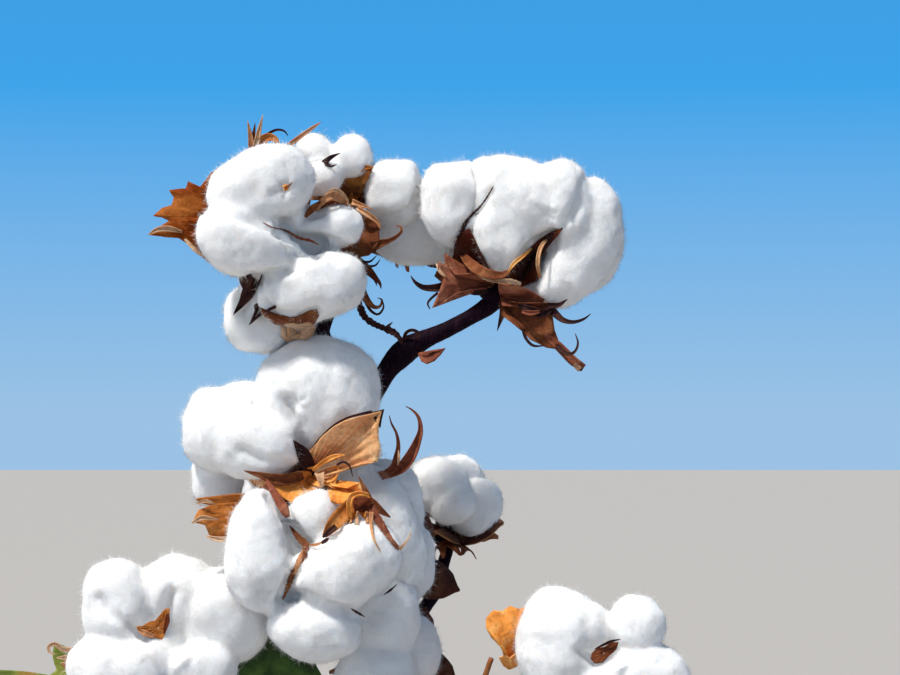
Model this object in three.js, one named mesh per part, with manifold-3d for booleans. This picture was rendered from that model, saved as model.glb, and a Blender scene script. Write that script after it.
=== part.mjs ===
import * as THREE from "three";
import * as BufferGeometryUtils from "three/addons/utils/BufferGeometryUtils.js";
import Module from "manifold-3d";

// A cotton plant at harvest, in millimetres, +Z up. The origin is the centre of
// the flat cut under the main stem, at ground level. The front is -Y.

const wasm = await Module();
wasm.setup();

// ---- driving dimensions ----
const STEM_FOOT_R = 10.5;        // root flare at the ground
const STEM_LOW_R = 7.0;          // just over the flare
const STEM_TOP_R = 3.1;          // under the topmost boll
const FLARE_HEIGHT = 26;
const STEM_SIDES = 8;
const BRANCH_SIDES = 6;
const STALK_R = 2.4;             // stalk of one boll
const RECEPTACLE_R = 7.5;        // where bracts and valves meet
const BLADE_T = 1.0;             // thickness of bracts and leaves
const LOCK_RING = 6;             // segments round one lock of lint
const LOCK_ROWS = 5;             // rows from tip to tip
const LINT_SMOOTH = 1.6;         // how far the lint's facets may be merged
const BURR_SMOOTH = 0.7;         // the same for the burrs and leaves
const GAP = 0.35;                // clearance between neighbours

// ---- the main stem: centre line and radius ----
const STEM = [
  [0, 0, 0, STEM_FOOT_R], [0.2, 0.2, 9, 8.6], [0.5, 0.6, FLARE_HEIGHT, STEM_LOW_R], [3, 3, 90, 6.7],
  [6, 6, 170, 6.5], [3, 9, 260, 6.2], [-4, 13, 350, 5.9], [-3, 18, 430, 5.6],
  [3, 21, 510, 5.3], [1, 22, 576, 5.0], [-3, 21, 640, 4.6], [-8, 20, 690, 4.0],
  [-13, 19, 718, 3.4], [-20, 19, 738, STEM_TOP_R],
];

// ---- fruiting branches: centre line, radius at foot and tip ----
const BRANCHES = {
  right_upper_branch: { r: [4.5, 3.0], line: [[-4, 20, 664], [3, 17, 679], [10.5, 12, 692.5], [21.5, 6, 707.5], [38, 4, 715], [51, 4, 722], [58, 4, 727]] },
  middle_branch: { r: [3.0, 2.4], line: [[-8, 21, 688], [-14, 38, 711], [-10, 50, 736], [8, 55, 756], [22, 50, 763]] },
  rear_branch: { r: [3.6, 2.6], line: [[1, 22, 560], [16, 52, 583], [33, 88, 604], [39, 97, 622]] },
  left_branch: { r: [4.0, 2.8], line: [[1, 21, 524], [-28, 28, 548], [-60, 28, 570], [-76, 23, 585]] },
  far_right_branch: { r: [4.0, 2.8], line: [[3, 21, 500], [38, 28, 530], [76, 28, 556], [100, 23, 575]] },
  back_left_branch: { r: [3.8, 2.8], line: [[0, 20, 462], [-30, 46, 492], [-60, 72, 516], [-70, 84, 530]] },
  back_right_branch: { r: [4.0, 2.8], line: [[-2, 18, 432], [30, 44, 460], [56, 74, 486], [66, 86, 502]] },
  front_left_branch: { r: [4.2, 2.8], line: [[-3, 16, 392], [-34, -14, 420], [-56, -44, 448], [-64, -58, 464]] },
  front_right_branch: { r: [4.2, 2.8], line: [[-4, 13, 352], [30, -12, 382], [58, -44, 410], [70, -58, 428]] },
  back_low_branch: { r: [4.2, 2.8], line: [[-2, 11, 312], [-10, 48, 346], [-16, 88, 374], [-16, 108, 392]] },
  left_low_branch: { r: [4.4, 2.8], line: [[2, 9, 270], [-42, -2, 306], [-84, -8, 334], [-108, -10, 352]] },
  right_low_branch: { r: [4.4, 2.8], line: [[5, 8, 226], [46, 14, 266], [92, 10, 296], [116, 4, 314]] },
};

// ---- bolls ----
// base: where the locks meet, axis: the way the boll faces.
// locks: centre x y z, half length, half width, half depth, turn of the long
// axis clockwise from upright as seen from the front, bow of its ends, taper.
// bracts: angle round the axis, opening from the axis, length, width, teeth, curl.
const BOLLS = {
  crown_boll: { base: [-26.4, 10, 750], axis: [-0.15, -1, 0.1], stalk: [], valves: 5, locks: [
    [-34.2, -22, 770, 21.5, 15.6, 15, 66, 0, 0], [-39.5, -27, 747.9, 20.8, 14.2, 14, 112, -1.6, 0],
    [-15.5, -21, 731.7, 22.0, 14.5, 14, 79, 1.6, 0], [-7.0, -11, 755.3, 12.6, 8.7, 10, 90, 0, 0],
    [-36, -2, 719.5, 14.0, 14.4, 13, 0, 0, 0], [-31, -10, 736, 14, 13, 12, 0, 0, 0], [-25, -12, 751, 15, 15, 11, 0, 0, 0]],
    bracts: [[171, 84, 56, 34, 5, -0.1], [97, 84, 50, 40, 4, 0], [6, 80, 46, 24, 2, 0.1], [-38, 84, 60, 26, 4, 0], [243, 80, 40, 16, 2, 0]] },
  upper_back_boll: { base: [-1.9, 18, 767], axis: [0, -0.3, 1], stalk: [[-11, 21, 715], [-4, 27, 740]], valves: 4, size: 0.55, locks: [
    [0.6, 8, 785.4, 8.9, 8.5, 9, 0, 0, 0], [-15.3, 12, 787.7, 7.3, 5.9, 7, 0, 0, 0],
    [-11.2, 4, 776.6, 6.8, 5.6, 7, 90, 0, 0], [-5.8, 20, 782.1, 10.6, 9.0, 10, 0, 0, 0]],
    bracts: [[-80, 30, 18, 18, 3, 0.2], [40, 40, 20, 16, 3, 0.2], [165, 45, 22, 16, 3, 0.2]] },
  middle_boll: { base: [26.0, 42, 763], axis: [0, -1, 0], stalk: [[24, 49, 763]], valves: 4, locks: [
    [16.8, 12, 771.6, 13.7, 12.4, 12, 0, 0, 0], [27.0, 22, 753.3, 19.9, 11.0, 11, 95, 0, 0],
    [43.2, 4, 765, 18.2, 14.6, 13, -12, 0, 0.05], [28, 24, 766, 13, 13, 13, 0, 0, 0]],
    bracts: [[-12, 84, 38, 28, 4, 0], [-105, 86, 30, 24, 3, 0], [112, 86, 32, 24, 3, 0]] },
  right_boll: { base: [58.9, 4, 731], axis: [0.18, -0.35, 0.93], stalk: [], valves: 5, locks: [
    [63.3, -9, 760.4, 23.3, 15.0, 14, 8, 0, 0.2], [82.4, -8, 763.6, 18.1, 14.8, 14, -16, 0, 0.1],
    [93.2, -7, 747.6, 27.4, 13.6, 13, 22, -5.2, 0], [99.0, 8, 744, 16.5, 9.4, 11, 28, -2.4, 0],
    [67, 18, 764, 21.3, 17.2, 13, 0, 0, 0.2], [76, 6, 750, 13, 13, 11, 0, 0, 0]],
    bracts: [[186, 92, 37, 30, 4, 0.1], [-30, 122, 48, 26, 4, -0.1], [-4, 96, 32, 18, 2, 0], [90, 80, 42, 34, 3, 0.1],
      [-12, 44, 30, 22, 1, 0]] },
  shaded_boll: { base: [-17.5, 12, 656.7], axis: [-0.3, -0.85, 0.35], stalk: [[-3, 21, 632], [-12, 22, 644]], valves: 4, locks: [
    [-12.0, -9, 687.6, 24.4, 25.0, 17, 0, 0, 0.1], [-50.9, -10, 675.0, 17.4, 15.8, 15, 0, 0, 0],
    [-42.0, -5, 680.0, 13.6, 12.8, 12, 0, 0, 0], [-36.0, -18, 669.5, 18.4, 13.4, 12, 88, 0, 0],
    [-53.5, 2, 655.5, 10.5, 11.3, 10, 90, 0, 0], [-29, -6, 674, 15, 14, 12, 60, 0, 0]],
    bracts: [[30, 62, 42, 28, 3, -0.1], [8, 84, 48, 16, 2, 0.2], [-42, 82, 50, 30, 4, 0], [206, 88, 44, 26, 4, 0]] },
  front_boll: { base: [-15, 0, 620], axis: [0, -1, 0], stalk: [[-1, 22, 584], [-10, 14, 602]], valves: 4, locks: [
    [-34.3, -31, 628.6, 24.0, 13.4, 14, -2, 1.2, 0], [-13.4, -25, 641.6, 10.9, 9.8, 11, 60, 0, 0],
    [-0.1, -33, 622.3, 22.4, 15.8, 15, 62, 0, 0], [-12.3, -30, 598.6, 19.4, 12.6, 13, 95, 0, 0],
    [-16, -22, 618, 17, 15, 10, 0, 0, 0]],
    bracts: [[-30, 86, 40, 28, 3, 0], [215, 86, 36, 28, 4, 0], [150, 86, 34, 26, 3, 0]] },
  side_boll: { base: [20, 36, 618], axis: [0.2, -1, 0], stalk: [[1, 22, 596], [12, 40, 606]], valves: 4, locks: [
    [11.6, 4, 635.2, 29.3, 16.0, 15, -21, -1.6, 0], [15.6, 22, 645.3, 18.1, 14.0, 13, -20, 0, 0],
    [21.5, 20, 620.9, 16.4, 12.3, 12, 0, 0, 0]],
    bracts: [[195, 84, 36, 28, 4, 0], [100, 84, 36, 28, 4, 0], [-95, 86, 30, 24, 3, 0]] },
  lower_side_boll: { base: [20, 34, 581], axis: [0.1, -1, -0.1], stalk: [[2, 22, 556], [14, 40, 566]], valves: 4, locks: [
    [11.0, 4, 602.0, 20.8, 17.6, 15, 0, 0, 0], [10.6, 0, 571.3, 20.8, 17.6, 16, 0, 0, 0],
    [22, 20, 584, 16.4, 13.4, 13, 0, 0, 0]],
    bracts: [[192, 84, 38, 30, 3, 0], [-100, 84, 38, 28, 3, 0]] },
  left_boll: { base: [-77.6, 14, 591], axis: [-0.05, -1, 0.05], stalk: [[-76, 22, 587]], valves: 5, locks: [
    [-90.5, -17, 607.2, 18.5, 13.8, 15, 0, 0, 0], [-67.5, -12, 611.4, 15.4, 14.2, 14, 90, 0, 0],
    [-48.3, -13, 602.3, 18.9, 17.7, 15, 0, 0, 0], [-88.1, -22, 582.6, 21.1, 12.9, 14, 90, 0, 0],
    [-57.0, -20, 580.8, 14.0, 11.6, 12, 60, 0, 0], [-74, -10, 595, 15, 15, 10, 0, 0, 0]],
    bracts: [[178, 84, 44, 32, 5, 0], [75, 84, 34, 30, 4, 0], [-60, 84, 40, 32, 4, 0]] },
  far_right_boll: { base: [100.8, 14, 580], axis: [0, -1, 0.1], stalk: [[100, 23, 576]], valves: 4, locks: [
    [83.6, -9, 590.9, 22.2, 17.4, 16, 0, 0, 0], [95.8, -15, 597.8, 10.2, 7.1, 8, 0, 0, 0],
    [113.0, -14, 597.8, 12.6, 12.0, 13, 0, 0, 0], [116.5, -17, 578, 17.3, 13.9, 14, 90, 0, 0],
    [92, -12, 571, 15, 13, 12, 60, 0, 0], [101, -9, 585, 14, 13, 9, 0, 0, 0]],
    bracts: [[150, 84, 40, 30, 4, 0], [35, 84, 38, 28, 4, 0], [-80, 84, 36, 30, 4, 0]] },
  rear_boll: { base: [39.1, 98, 629], axis: [0.05, -0.35, 0.94], stalk: [[39, 97, 624]], valves: 4, locks: [
    [32.2, 86, 650.2, 15.6, 12.1, 13, 80, 0, 0], [51.5, 94, 641, 13.5, 10.6, 11, 30, 0, 0],
    [39.0, 108, 649.8, 16.8, 13.3, 13, 60, 0, 0], [42.0, 80, 642, 10.5, 7.9, 9, 70, 0, 0]],
    bracts: [[-90, 70, 30, 28, 4, 0.1], [30, 70, 34, 28, 4, 0.1], [150, 70, 34, 28, 4, 0.1]] },
  // bolls on the far side and lower down, grown by the rule below
  rear_low_boll: { base: [-20, 58, 652], axis: [-0.25, 0.95, 0.2], stalk: [[-3, 21, 616], [-14, 42, 634]], valves: 4, grown: 1 },
  back_left_boll: { base: [-73, 90, 536], axis: [-0.55, 0.75, 0.35], stalk: [[-70, 84, 531]], valves: 5, grown: 2 },
  back_right_boll: { base: [69, 93, 508], axis: [0.55, 0.78, 0.25], stalk: [[66, 86, 503]], valves: 4, grown: 3 },
  front_left_boll: { base: [-68, -64, 469], axis: [-0.62, -0.72, 0.3], stalk: [[-64, -58, 465]], valves: 5, grown: 4 },
  inner_left_boll: { base: [-44, 12, 470], axis: [-0.9, -0.1, 0.42], stalk: [[-34, -13, 421], [-40, 2, 448]], valves: 4, grown: 5 },
  front_right_boll: { base: [74, -64, 433], axis: [0.55, -0.8, 0.2], stalk: [[70, -58, 429]], valves: 4, grown: 6 },
  back_low_boll: { base: [-16, 114, 398], axis: [-0.1, 0.95, 0.3], stalk: [[-16, 108, 393]], valves: 5, grown: 7 },
  left_low_boll: { base: [-114, -11, 357], axis: [-0.92, -0.25, 0.3], stalk: [[-108, -10, 353]], valves: 4, grown: 8 },
  right_low_boll: { base: [121, 2, 318], axis: [0.95, -0.1, 0.25], stalk: [[116, 4, 315]], valves: 5, grown: 9 },
  inner_right_boll: { base: [62, -22, 318], axis: [0.35, -0.9, 0.25], stalk: [[48, 14, 268], [58, -8, 296]], valves: 4, grown: 10 },
};

// ---- leaves: petiole foot, blade foot, way to the tip, blade side, length, width, lobes ----
const LEAVES = {
  leaf_far_left: { petiole: [[-46, 28, 558], [-88, 10, 566]], foot: [-104, 2, 570], tip: [-0.86, -0.2, 0.12], side: [0.16, -0.35, -0.92], length: 44, width: 46, lobes: 3 },
  leaf_front_left: { petiole: [[1, 21, 540], [-26, 4, 563]], foot: [-29, -2, 570], tip: [-0.16, -0.50, 0.80], side: [0.95, -0.1, 0.2], length: 34, width: 42, lobes: 3 },
  leaf_dry_right: { petiole: [[22, 26, 517], [48, 8, 560]], foot: [56, 2, 582], tip: [0.25, -0.2, 0.95], side: [0.93, 0.3, -0.2], length: 28, width: 20, lobes: 3 },
  leaf_low_right: { petiole: [[20, 10, 244], [52, 40, 232]], foot: [70, 56, 226], tip: [0.72, 0.62, -0.3], side: [-0.62, 0.78, 0.1], length: 70, width: 76, lobes: 5 },
  leaf_low_left: { petiole: [[-22, 3, 292], [-50, -36, 296]], foot: [-62, -54, 292], tip: [-0.6, -0.74, -0.3], side: [0.76, -0.64, 0.05], length: 66, width: 74, lobes: 5 },
};

// ---- small helpers ----
const V = (a) => new THREE.Vector3(a[0], a[1], a[2]);

// a repeatable number from 0 to 1
function chance(a, b) {
  const s = Math.sin(a * 127.1 + b * 311.7) * 43758.5453;
  return s - Math.floor(s);
}

function toSolid(geometry) {
  geometry.deleteAttribute("normal");
  geometry.deleteAttribute("uv");
  const merged = BufferGeometryUtils.mergeVertices(geometry, 1e-4);
  return new wasm.Manifold(new wasm.Mesh({
    numProp: 3,
    vertProperties: new Float32Array(merged.attributes.position.array),
    triVerts: new Uint32Array(merged.index.array),
  }));
}

function reshape(geometry, rule) {
  const at = geometry.attributes.position;
  const p = new THREE.Vector3();
  for (let i = 0; i < at.count; i++) {
    p.fromBufferAttribute(at, i);
    rule(p);
    at.setXYZ(i, p.x, p.y, p.z);
  }
  return toSolid(geometry);
}

function join(solids) {
  return solids.reduce((all, one) => all.add(one));
}

// the frame of a boll: its axis, the side to the right and the side above
function bollFrame(axis) {
  const a = V(axis).normalize();
  const r = new THREE.Vector3(0, 0, 1).cross(a).normalize();
  const u = a.clone().cross(r);
  return { a, r, u };
}

// a round limb along a line, tapering from one radius to another
function limb(line, radiusAt, sides, steps, grow) {
  const curve = new THREE.CatmullRomCurve3(line.map(V), false, "centripetal");
  const frames = curve.computeFrenetFrames(steps, false);
  return reshape(new THREE.CylinderGeometry(1, 1, 1, sides, steps), (p) => {
    const t = THREE.MathUtils.clamp(p.y + 0.5, 0, 1);
    const k = Math.round(t * steps);
    const c = curve.getPointAt(t);
    const r = radiusAt(t, c) + grow;
    const side = frames.normals[k];
    const across = side.clone().cross(frames.tangents[k]);
    c.addScaledVector(side, p.x * r).addScaledVector(across, p.z * r);
    p.copy(c);
  });
}

// the main stem: rings at the listed heights, the lowest one flat on the ground
function mainStem(grow) {
  const rows = STEM.length - 1;
  return reshape(new THREE.CylinderGeometry(1, 1, 1, STEM_SIDES, rows), (p) => {
    const k = Math.round((p.y + 0.5) * rows);
    const [x, y, z, r] = STEM[k];
    const lobe = k < 2 ? 1 + 0.12 * Math.cos(3 * Math.atan2(p.z, p.x)) : 1;
    const R = (r + grow) * lobe;
    p.set(x + p.x * R, y - p.z * R, z + (k === rows ? grow : 0) - (k === 0 ? grow : 0));
  });
}

// one lock of lint: an uneven egg with its long axis along l
function lock(at, half, l, w, bow, taper, seed, ring, rows, grow) {
  const n = w.clone().cross(l);
  return reshape(new THREE.SphereGeometry(1, ring, rows), (p) => {
    const swell = 1 + 0.05 * Math.sin(3.1 * p.x + 2.3 * p.y + seed) + 0.04 * Math.sin(4.7 * p.z + 1.9 * seed);
    const wide = 1 + taper * p.y;
    const X = p.x * (half[1] * swell * wide + grow) + bow * p.y * p.y;
    const Y = p.y * (half[0] * swell + grow);
    const Z = p.z * (half[2] * swell * wide + grow);
    p.copy(at).addScaledVector(w, X).addScaledVector(l, Y).addScaledVector(n, Z);
  });
}

// locks of a boll that is grown by rule: they spread round the axis
function grownLocks(boll) {
  const { a, r, u } = bollFrame(boll.axis);
  const count = boll.valves;
  const rows = [];
  for (let k = 0; k < count; k++) {
    const c = (i) => chance(boll.grown * 7.3 + k, i);
    const turn = (2 * Math.PI * (k + 0.25 * (c(1) - 0.5))) / count + boll.grown;
    const out = r.clone().multiplyScalar(Math.cos(turn)).addScaledVector(u, Math.sin(turn));
    const lean = 0.95 + 0.35 * (c(2) - 0.5);
    const l = out.clone().multiplyScalar(Math.sin(lean)).addScaledVector(a, Math.cos(lean));
    const w = a.clone().cross(out);
    const half = [19 + 4 * c(3), 14 + 3 * c(4), 13 + 2 * c(5)];
    const at = V(boll.base).addScaledVector(a, 21 + 4 * c(6)).addScaledVector(out, 16 + 3 * c(7));
    at.z -= 3;
    rows.push({ at, half, l, w, bow: 0, taper: 0.12 });
  }
  rows.push({ at: V(boll.base).addScaledVector(a, 16), half: [15, 15, 12], l: u, w: r, bow: 0, taper: 0 });
  return rows;
}

function placedLocks(boll) {
  return boll.locks.map(([x, y, z, long, wide, deep, turn, bow, taper]) => {
    const t = THREE.MathUtils.degToRad(turn);
    return {
      at: new THREE.Vector3(x, y, z), half: [long, wide, deep], bow, taper,
      l: new THREE.Vector3(Math.sin(t), 0, Math.cos(t)),
      w: new THREE.Vector3(Math.cos(t), 0, -Math.sin(t)),
    };
  });
}

function cotton(boll, grow) {
  const rows = boll.grown ? grownLocks(boll) : placedLocks(boll);
  const [ring, levels] = boll.grown ? [LOCK_RING - 1, LOCK_ROWS - 1] : [LOCK_RING, LOCK_ROWS - (boll.size ? 1 : 0)];
  return join(rows.map((o, k) => lock(o.at, o.half, o.l, o.w, o.bow, o.taper, k * 1.7 + boll.base[0], ring, levels, grow)));
}

// points of an outline pushed outwards, so that a grown blade clears its neighbours
function pushOut(points, by) {
  const n = points.length;
  return points.map((p, i) => {
    const before = points[(i + n - 1) % n];
    const after = points[(i + 1) % n];
    const e = new THREE.Vector2(p.x - before.x, p.y - before.y).normalize();
    const f = new THREE.Vector2(after.x - p.x, after.y - p.y).normalize();
    const ne = new THREE.Vector2(e.y, -e.x);
    const nf = new THREE.Vector2(f.y, -f.x);
    const m = ne.clone().add(nf);
    const s = by / Math.max(0.35, 1 + ne.dot(nf));
    return new THREE.Vector2(p.x + m.x * s, p.y + m.y * s);
  });
}

// a thin toothed or lobed blade from its foot, bent by curl along it and cupped across
function blade(foot, along, side, length, width, teeth, deep, curl, cup, thick, grow) {
  const outline = [new THREE.Vector2(0.14 * width, 0), new THREE.Vector2(0.5 * width, 0.38 * length)];
  for (let k = teeth - 1; k >= 0; k--) {
    const s = teeth === 1 ? 0 : -1 + (2 * k) / (teeth - 1);
    outline.push(new THREE.Vector2(0.52 * s * width, length * (1 - 0.26 * s * s)));
    if (k > 0) {
      const m = s - 1 / (teeth - 1);
      outline.push(new THREE.Vector2(0.4 * m * width, length * (1 - deep - 0.2 * m * m)));
    }
  }
  outline.push(new THREE.Vector2(-0.5 * width, 0.38 * length), new THREE.Vector2(-0.14 * width, 0));
  const shape = new THREE.Shape(grow > 0 ? pushOut(outline, grow) : outline);
  const t = thick + 2 * grow;
  const normal = side.clone().cross(along);
  return reshape(new THREE.ExtrudeGeometry(shape, { depth: t, bevelEnabled: false, steps: 1 }), (p) => {
    const v = p.y / length;
    const h = p.z - t / 2 + curl * length * v * v + cup * width * (2 * p.x / width) ** 2;
    const q = foot.clone().addScaledVector(side, p.x).addScaledVector(along, p.y).addScaledVector(normal, h);
    p.copy(q);
  });
}

// the burr of a boll: stalk, receptacle and toothed bracts
function burr(boll, seed, grow) {
  const { a, r, u } = bollFrame(boll.axis);
  const size = boll.size ?? 1;
  const base = V(boll.base);
  const foot = base.clone().addScaledVector(a, -3 * size);
  const ray = (phi, open) => {
    const out = r.clone().multiplyScalar(Math.cos(phi)).addScaledVector(u, Math.sin(phi));
    const along = a.clone().multiplyScalar(Math.cos(open)).addScaledVector(out, Math.sin(open));
    const side = u.clone().multiplyScalar(Math.cos(phi)).addScaledVector(r, -Math.sin(phi));
    return { out, along, side };
  };
  const pieces = [reshape(new THREE.OctahedronGeometry(1.25, 0), (p) => {
    const R = RECEPTACLE_R * size + grow;
    const q = base.clone().addScaledVector(r, p.x * R).addScaledVector(a, p.y * R * 0.72).addScaledVector(u, -p.z * R);
    p.copy(q);
  })];
  const line = [...boll.stalk, foot.toArray()];
  if (line.length > 1) pieces.push(limb(line, () => STALK_R * (size < 1 ? 0.75 : 1), 5, line.length - 1, grow));
  const rows = boll.bracts ?? [0, 1, 2].map((k) => [120 * k + 57.3 * boll.grown + 30 * chance(seed, k),
    82 + 14 * chance(seed, k + 5), 38 + 8 * chance(seed, k + 9), 32 + 6 * chance(seed, k + 13), 3, 0.1]);
  for (const [phi, open, length, width, teeth, curl] of rows) {
    const { along, side } = ray(THREE.MathUtils.degToRad(phi), THREE.MathUtils.degToRad(open));
    pieces.push(blade(foot, along, side, length, width, teeth, 0.28, curl, -0.04, BLADE_T, grow));
  }
  return join(pieces);
}

function leaf(spec, grow) {
  const along = V(spec.tip).normalize();
  const side = V(spec.side).addScaledVector(along, -V(spec.side).dot(along)).normalize();
  const foot = V(spec.foot);
  const line = [...spec.petiole, foot.clone().addScaledVector(along, 2).toArray()];
  return join([
    limb(line, () => 1.3, 6, 4, grow),
    blade(foot, along, side, spec.length, spec.width, spec.lobes, 0.45, -0.18, 0.06, BLADE_T, grow),
  ]);
}

// ---- put together: each solid is cut clear of the ones made before it ----
const COLOURS = {
  bark: { color: 0x4a3440, roughness: 0.85 },
  branch: { color: 0x553c47, roughness: 0.85 },
  lint: { color: 0xf2efe9, roughness: 1.0 },
  burr: { color: 0x8a5a34, roughness: 0.8 },
  leaf: { color: 0x7d8a3a, roughness: 0.7 },
};
const group = new THREE.Group();
const taken = [];

function meets(a, b) {
  const p = a.boundingBox();
  const q = b.boundingBox();
  return [0, 1, 2].every((i) => p.min[i] < q.max[i] && q.min[i] < p.max[i]);
}

function largest(solid) {
  const bodies = solid.decompose();
  return bodies.reduce((best, one) => (one.volume() > best.volume() ? one : best));
}

function place(name, kind, make) {
  const soft = kind === "lint" || kind === "burr" || kind === "leaf";
  const [merge, last] = kind === "lint" ? [LINT_SMOOTH, 1.2] : soft ? [BURR_SMOOTH, 0.5] : [0.45, 0.15];
  let solid = make(0);
  if (soft) solid = solid.asOriginal().simplify(merge);
  for (const other of taken) if (meets(solid, other)) solid = solid.subtract(other);
  solid = largest(largest(solid).asOriginal().simplify(last));
  taken.push(make(GAP + merge));
  const data = solid.getMesh();
  const geometry = new THREE.BufferGeometry();
  geometry.setAttribute("position", new THREE.BufferAttribute(Float32Array.from(data.vertProperties), 3));
  geometry.setIndex(new THREE.BufferAttribute(Uint32Array.from(data.triVerts), 1));
  geometry.computeVertexNormals();
  const mesh = new THREE.Mesh(geometry, new THREE.MeshStandardMaterial({ ...COLOURS[kind], metalness: 0, flatShading: true }));
  mesh.name = name;
  group.add(mesh);
}

place("main_stem", "bark", mainStem);
for (const [name, { r, line }] of Object.entries(BRANCHES)) {
  place(name, "branch", (grow) => limb(line, (t) => r[0] + (r[1] - r[0]) * t, BRANCH_SIDES, line.length, grow));
}
for (const [name, boll] of Object.entries(BOLLS)) place(`${name}_cotton`, "lint", (grow) => cotton(boll, grow));
Object.entries(BOLLS).forEach(([name, boll], k) => place(`${name}_burr`, "burr", (grow) => burr(boll, k + 1, grow)));
for (const [name, spec] of Object.entries(LEAVES)) place(name, "leaf", (grow) => leaf(spec, grow));

export default group;
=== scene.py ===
import math

import bpy
import numpy as np
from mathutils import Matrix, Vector
from mathutils.bvhtree import BVHTree


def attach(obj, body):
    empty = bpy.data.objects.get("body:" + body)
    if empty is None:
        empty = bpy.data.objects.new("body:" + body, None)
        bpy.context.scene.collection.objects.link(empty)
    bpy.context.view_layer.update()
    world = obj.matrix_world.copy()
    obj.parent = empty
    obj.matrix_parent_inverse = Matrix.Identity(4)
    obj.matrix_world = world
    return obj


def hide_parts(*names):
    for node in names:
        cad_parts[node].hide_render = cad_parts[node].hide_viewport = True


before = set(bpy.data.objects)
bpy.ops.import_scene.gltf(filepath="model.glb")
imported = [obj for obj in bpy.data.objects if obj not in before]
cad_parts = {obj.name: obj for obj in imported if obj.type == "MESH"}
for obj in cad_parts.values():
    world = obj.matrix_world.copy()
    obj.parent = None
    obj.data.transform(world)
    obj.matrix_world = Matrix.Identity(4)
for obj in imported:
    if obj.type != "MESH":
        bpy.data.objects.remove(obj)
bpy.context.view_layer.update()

# Everything below is worked out in millimetres in the plant's own frame and
# turned into metres when a mesh is made. The front is -Y.

# ---------------------------------------------------------------- camera
CAM_AT = (0.040, -1.0, 0.681)
CAM_TO = (0.040, 0.0, 0.712)
scene = bpy.context.scene
cam_data = bpy.data.cameras.new("camera")
cam_data.sensor_width = 36
cam_data.lens = 100
cam_data.clip_start = 0.01
cam_data.clip_end = 200
camera = bpy.data.objects.new("camera", cam_data)
camera.location = CAM_AT
camera.rotation_euler = (Vector(CAM_TO) - Vector(CAM_AT)).to_track_quat("-Z", "Y").to_euler()
scene.collection.objects.link(camera)
scene.camera = camera

# ---------------------------------------------------------------- the plant's measures
STEM = [
    [0, 0, 0, 10.5], [0.2, 0.2, 9, 8.6], [0.5, 0.6, 26, 7.0], [3, 3, 90, 6.7],
    [6, 6, 170, 6.5], [3, 9, 260, 6.2], [-4, 13, 350, 5.9], [-3, 18, 430, 5.6],
    [3, 21, 510, 5.3], [1, 22, 576, 5.0], [-3, 21, 640, 4.6], [-8, 20, 690, 4.0],
    [-13, 19, 718, 3.4], [-20, 19, 738, 3.1],
]
BRANCHES = {
    "right_upper_branch": ([4.6, 2.9], [[-4, 20, 664], [3, 17, 679], [10.5, 12, 692.5], [21.5, 6, 707.5], [38, 4, 715], [51, 4, 722], [58, 4, 727]]),
    "middle_branch": ([3.0, 2.4], [[-8, 21, 688], [-14, 38, 711], [-10, 50, 736], [8, 55, 756], [22, 50, 763]]),
    "rear_branch": ([3.6, 2.6], [[1, 22, 560], [16, 52, 583], [33, 88, 604], [39, 97, 622]]),
    "left_branch": ([4.0, 2.8], [[1, 21, 524], [-28, 28, 548], [-60, 28, 570], [-76, 23, 585]]),
    "far_right_branch": ([4.0, 2.8], [[3, 21, 500], [38, 28, 530], [76, 28, 556], [100, 23, 575]]),
    "back_left_branch": ([3.8, 2.8], [[0, 20, 462], [-30, 46, 492], [-60, 72, 516], [-70, 84, 530]]),
    "back_right_branch": ([4.0, 2.8], [[-2, 18, 432], [30, 44, 460], [56, 74, 486], [66, 86, 502]]),
    "front_left_branch": ([4.2, 2.8], [[-3, 16, 392], [-34, -14, 420], [-56, -44, 448], [-64, -58, 464]]),
    "front_right_branch": ([4.2, 2.8], [[-4, 13, 352], [30, -12, 382], [58, -44, 410], [70, -58, 428]]),
    "back_low_branch": ([4.2, 2.8], [[-2, 11, 312], [-10, 48, 346], [-16, 88, 374], [-16, 108, 392]]),
    "left_low_branch": ([4.4, 2.8], [[2, 9, 270], [-42, -2, 306], [-84, -8, 334], [-108, -10, 352]]),
    "right_low_branch": ([4.4, 2.8], [[5, 8, 226], [46, 14, 266], [92, 10, 296], [116, 4, 314]]),
}
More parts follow.
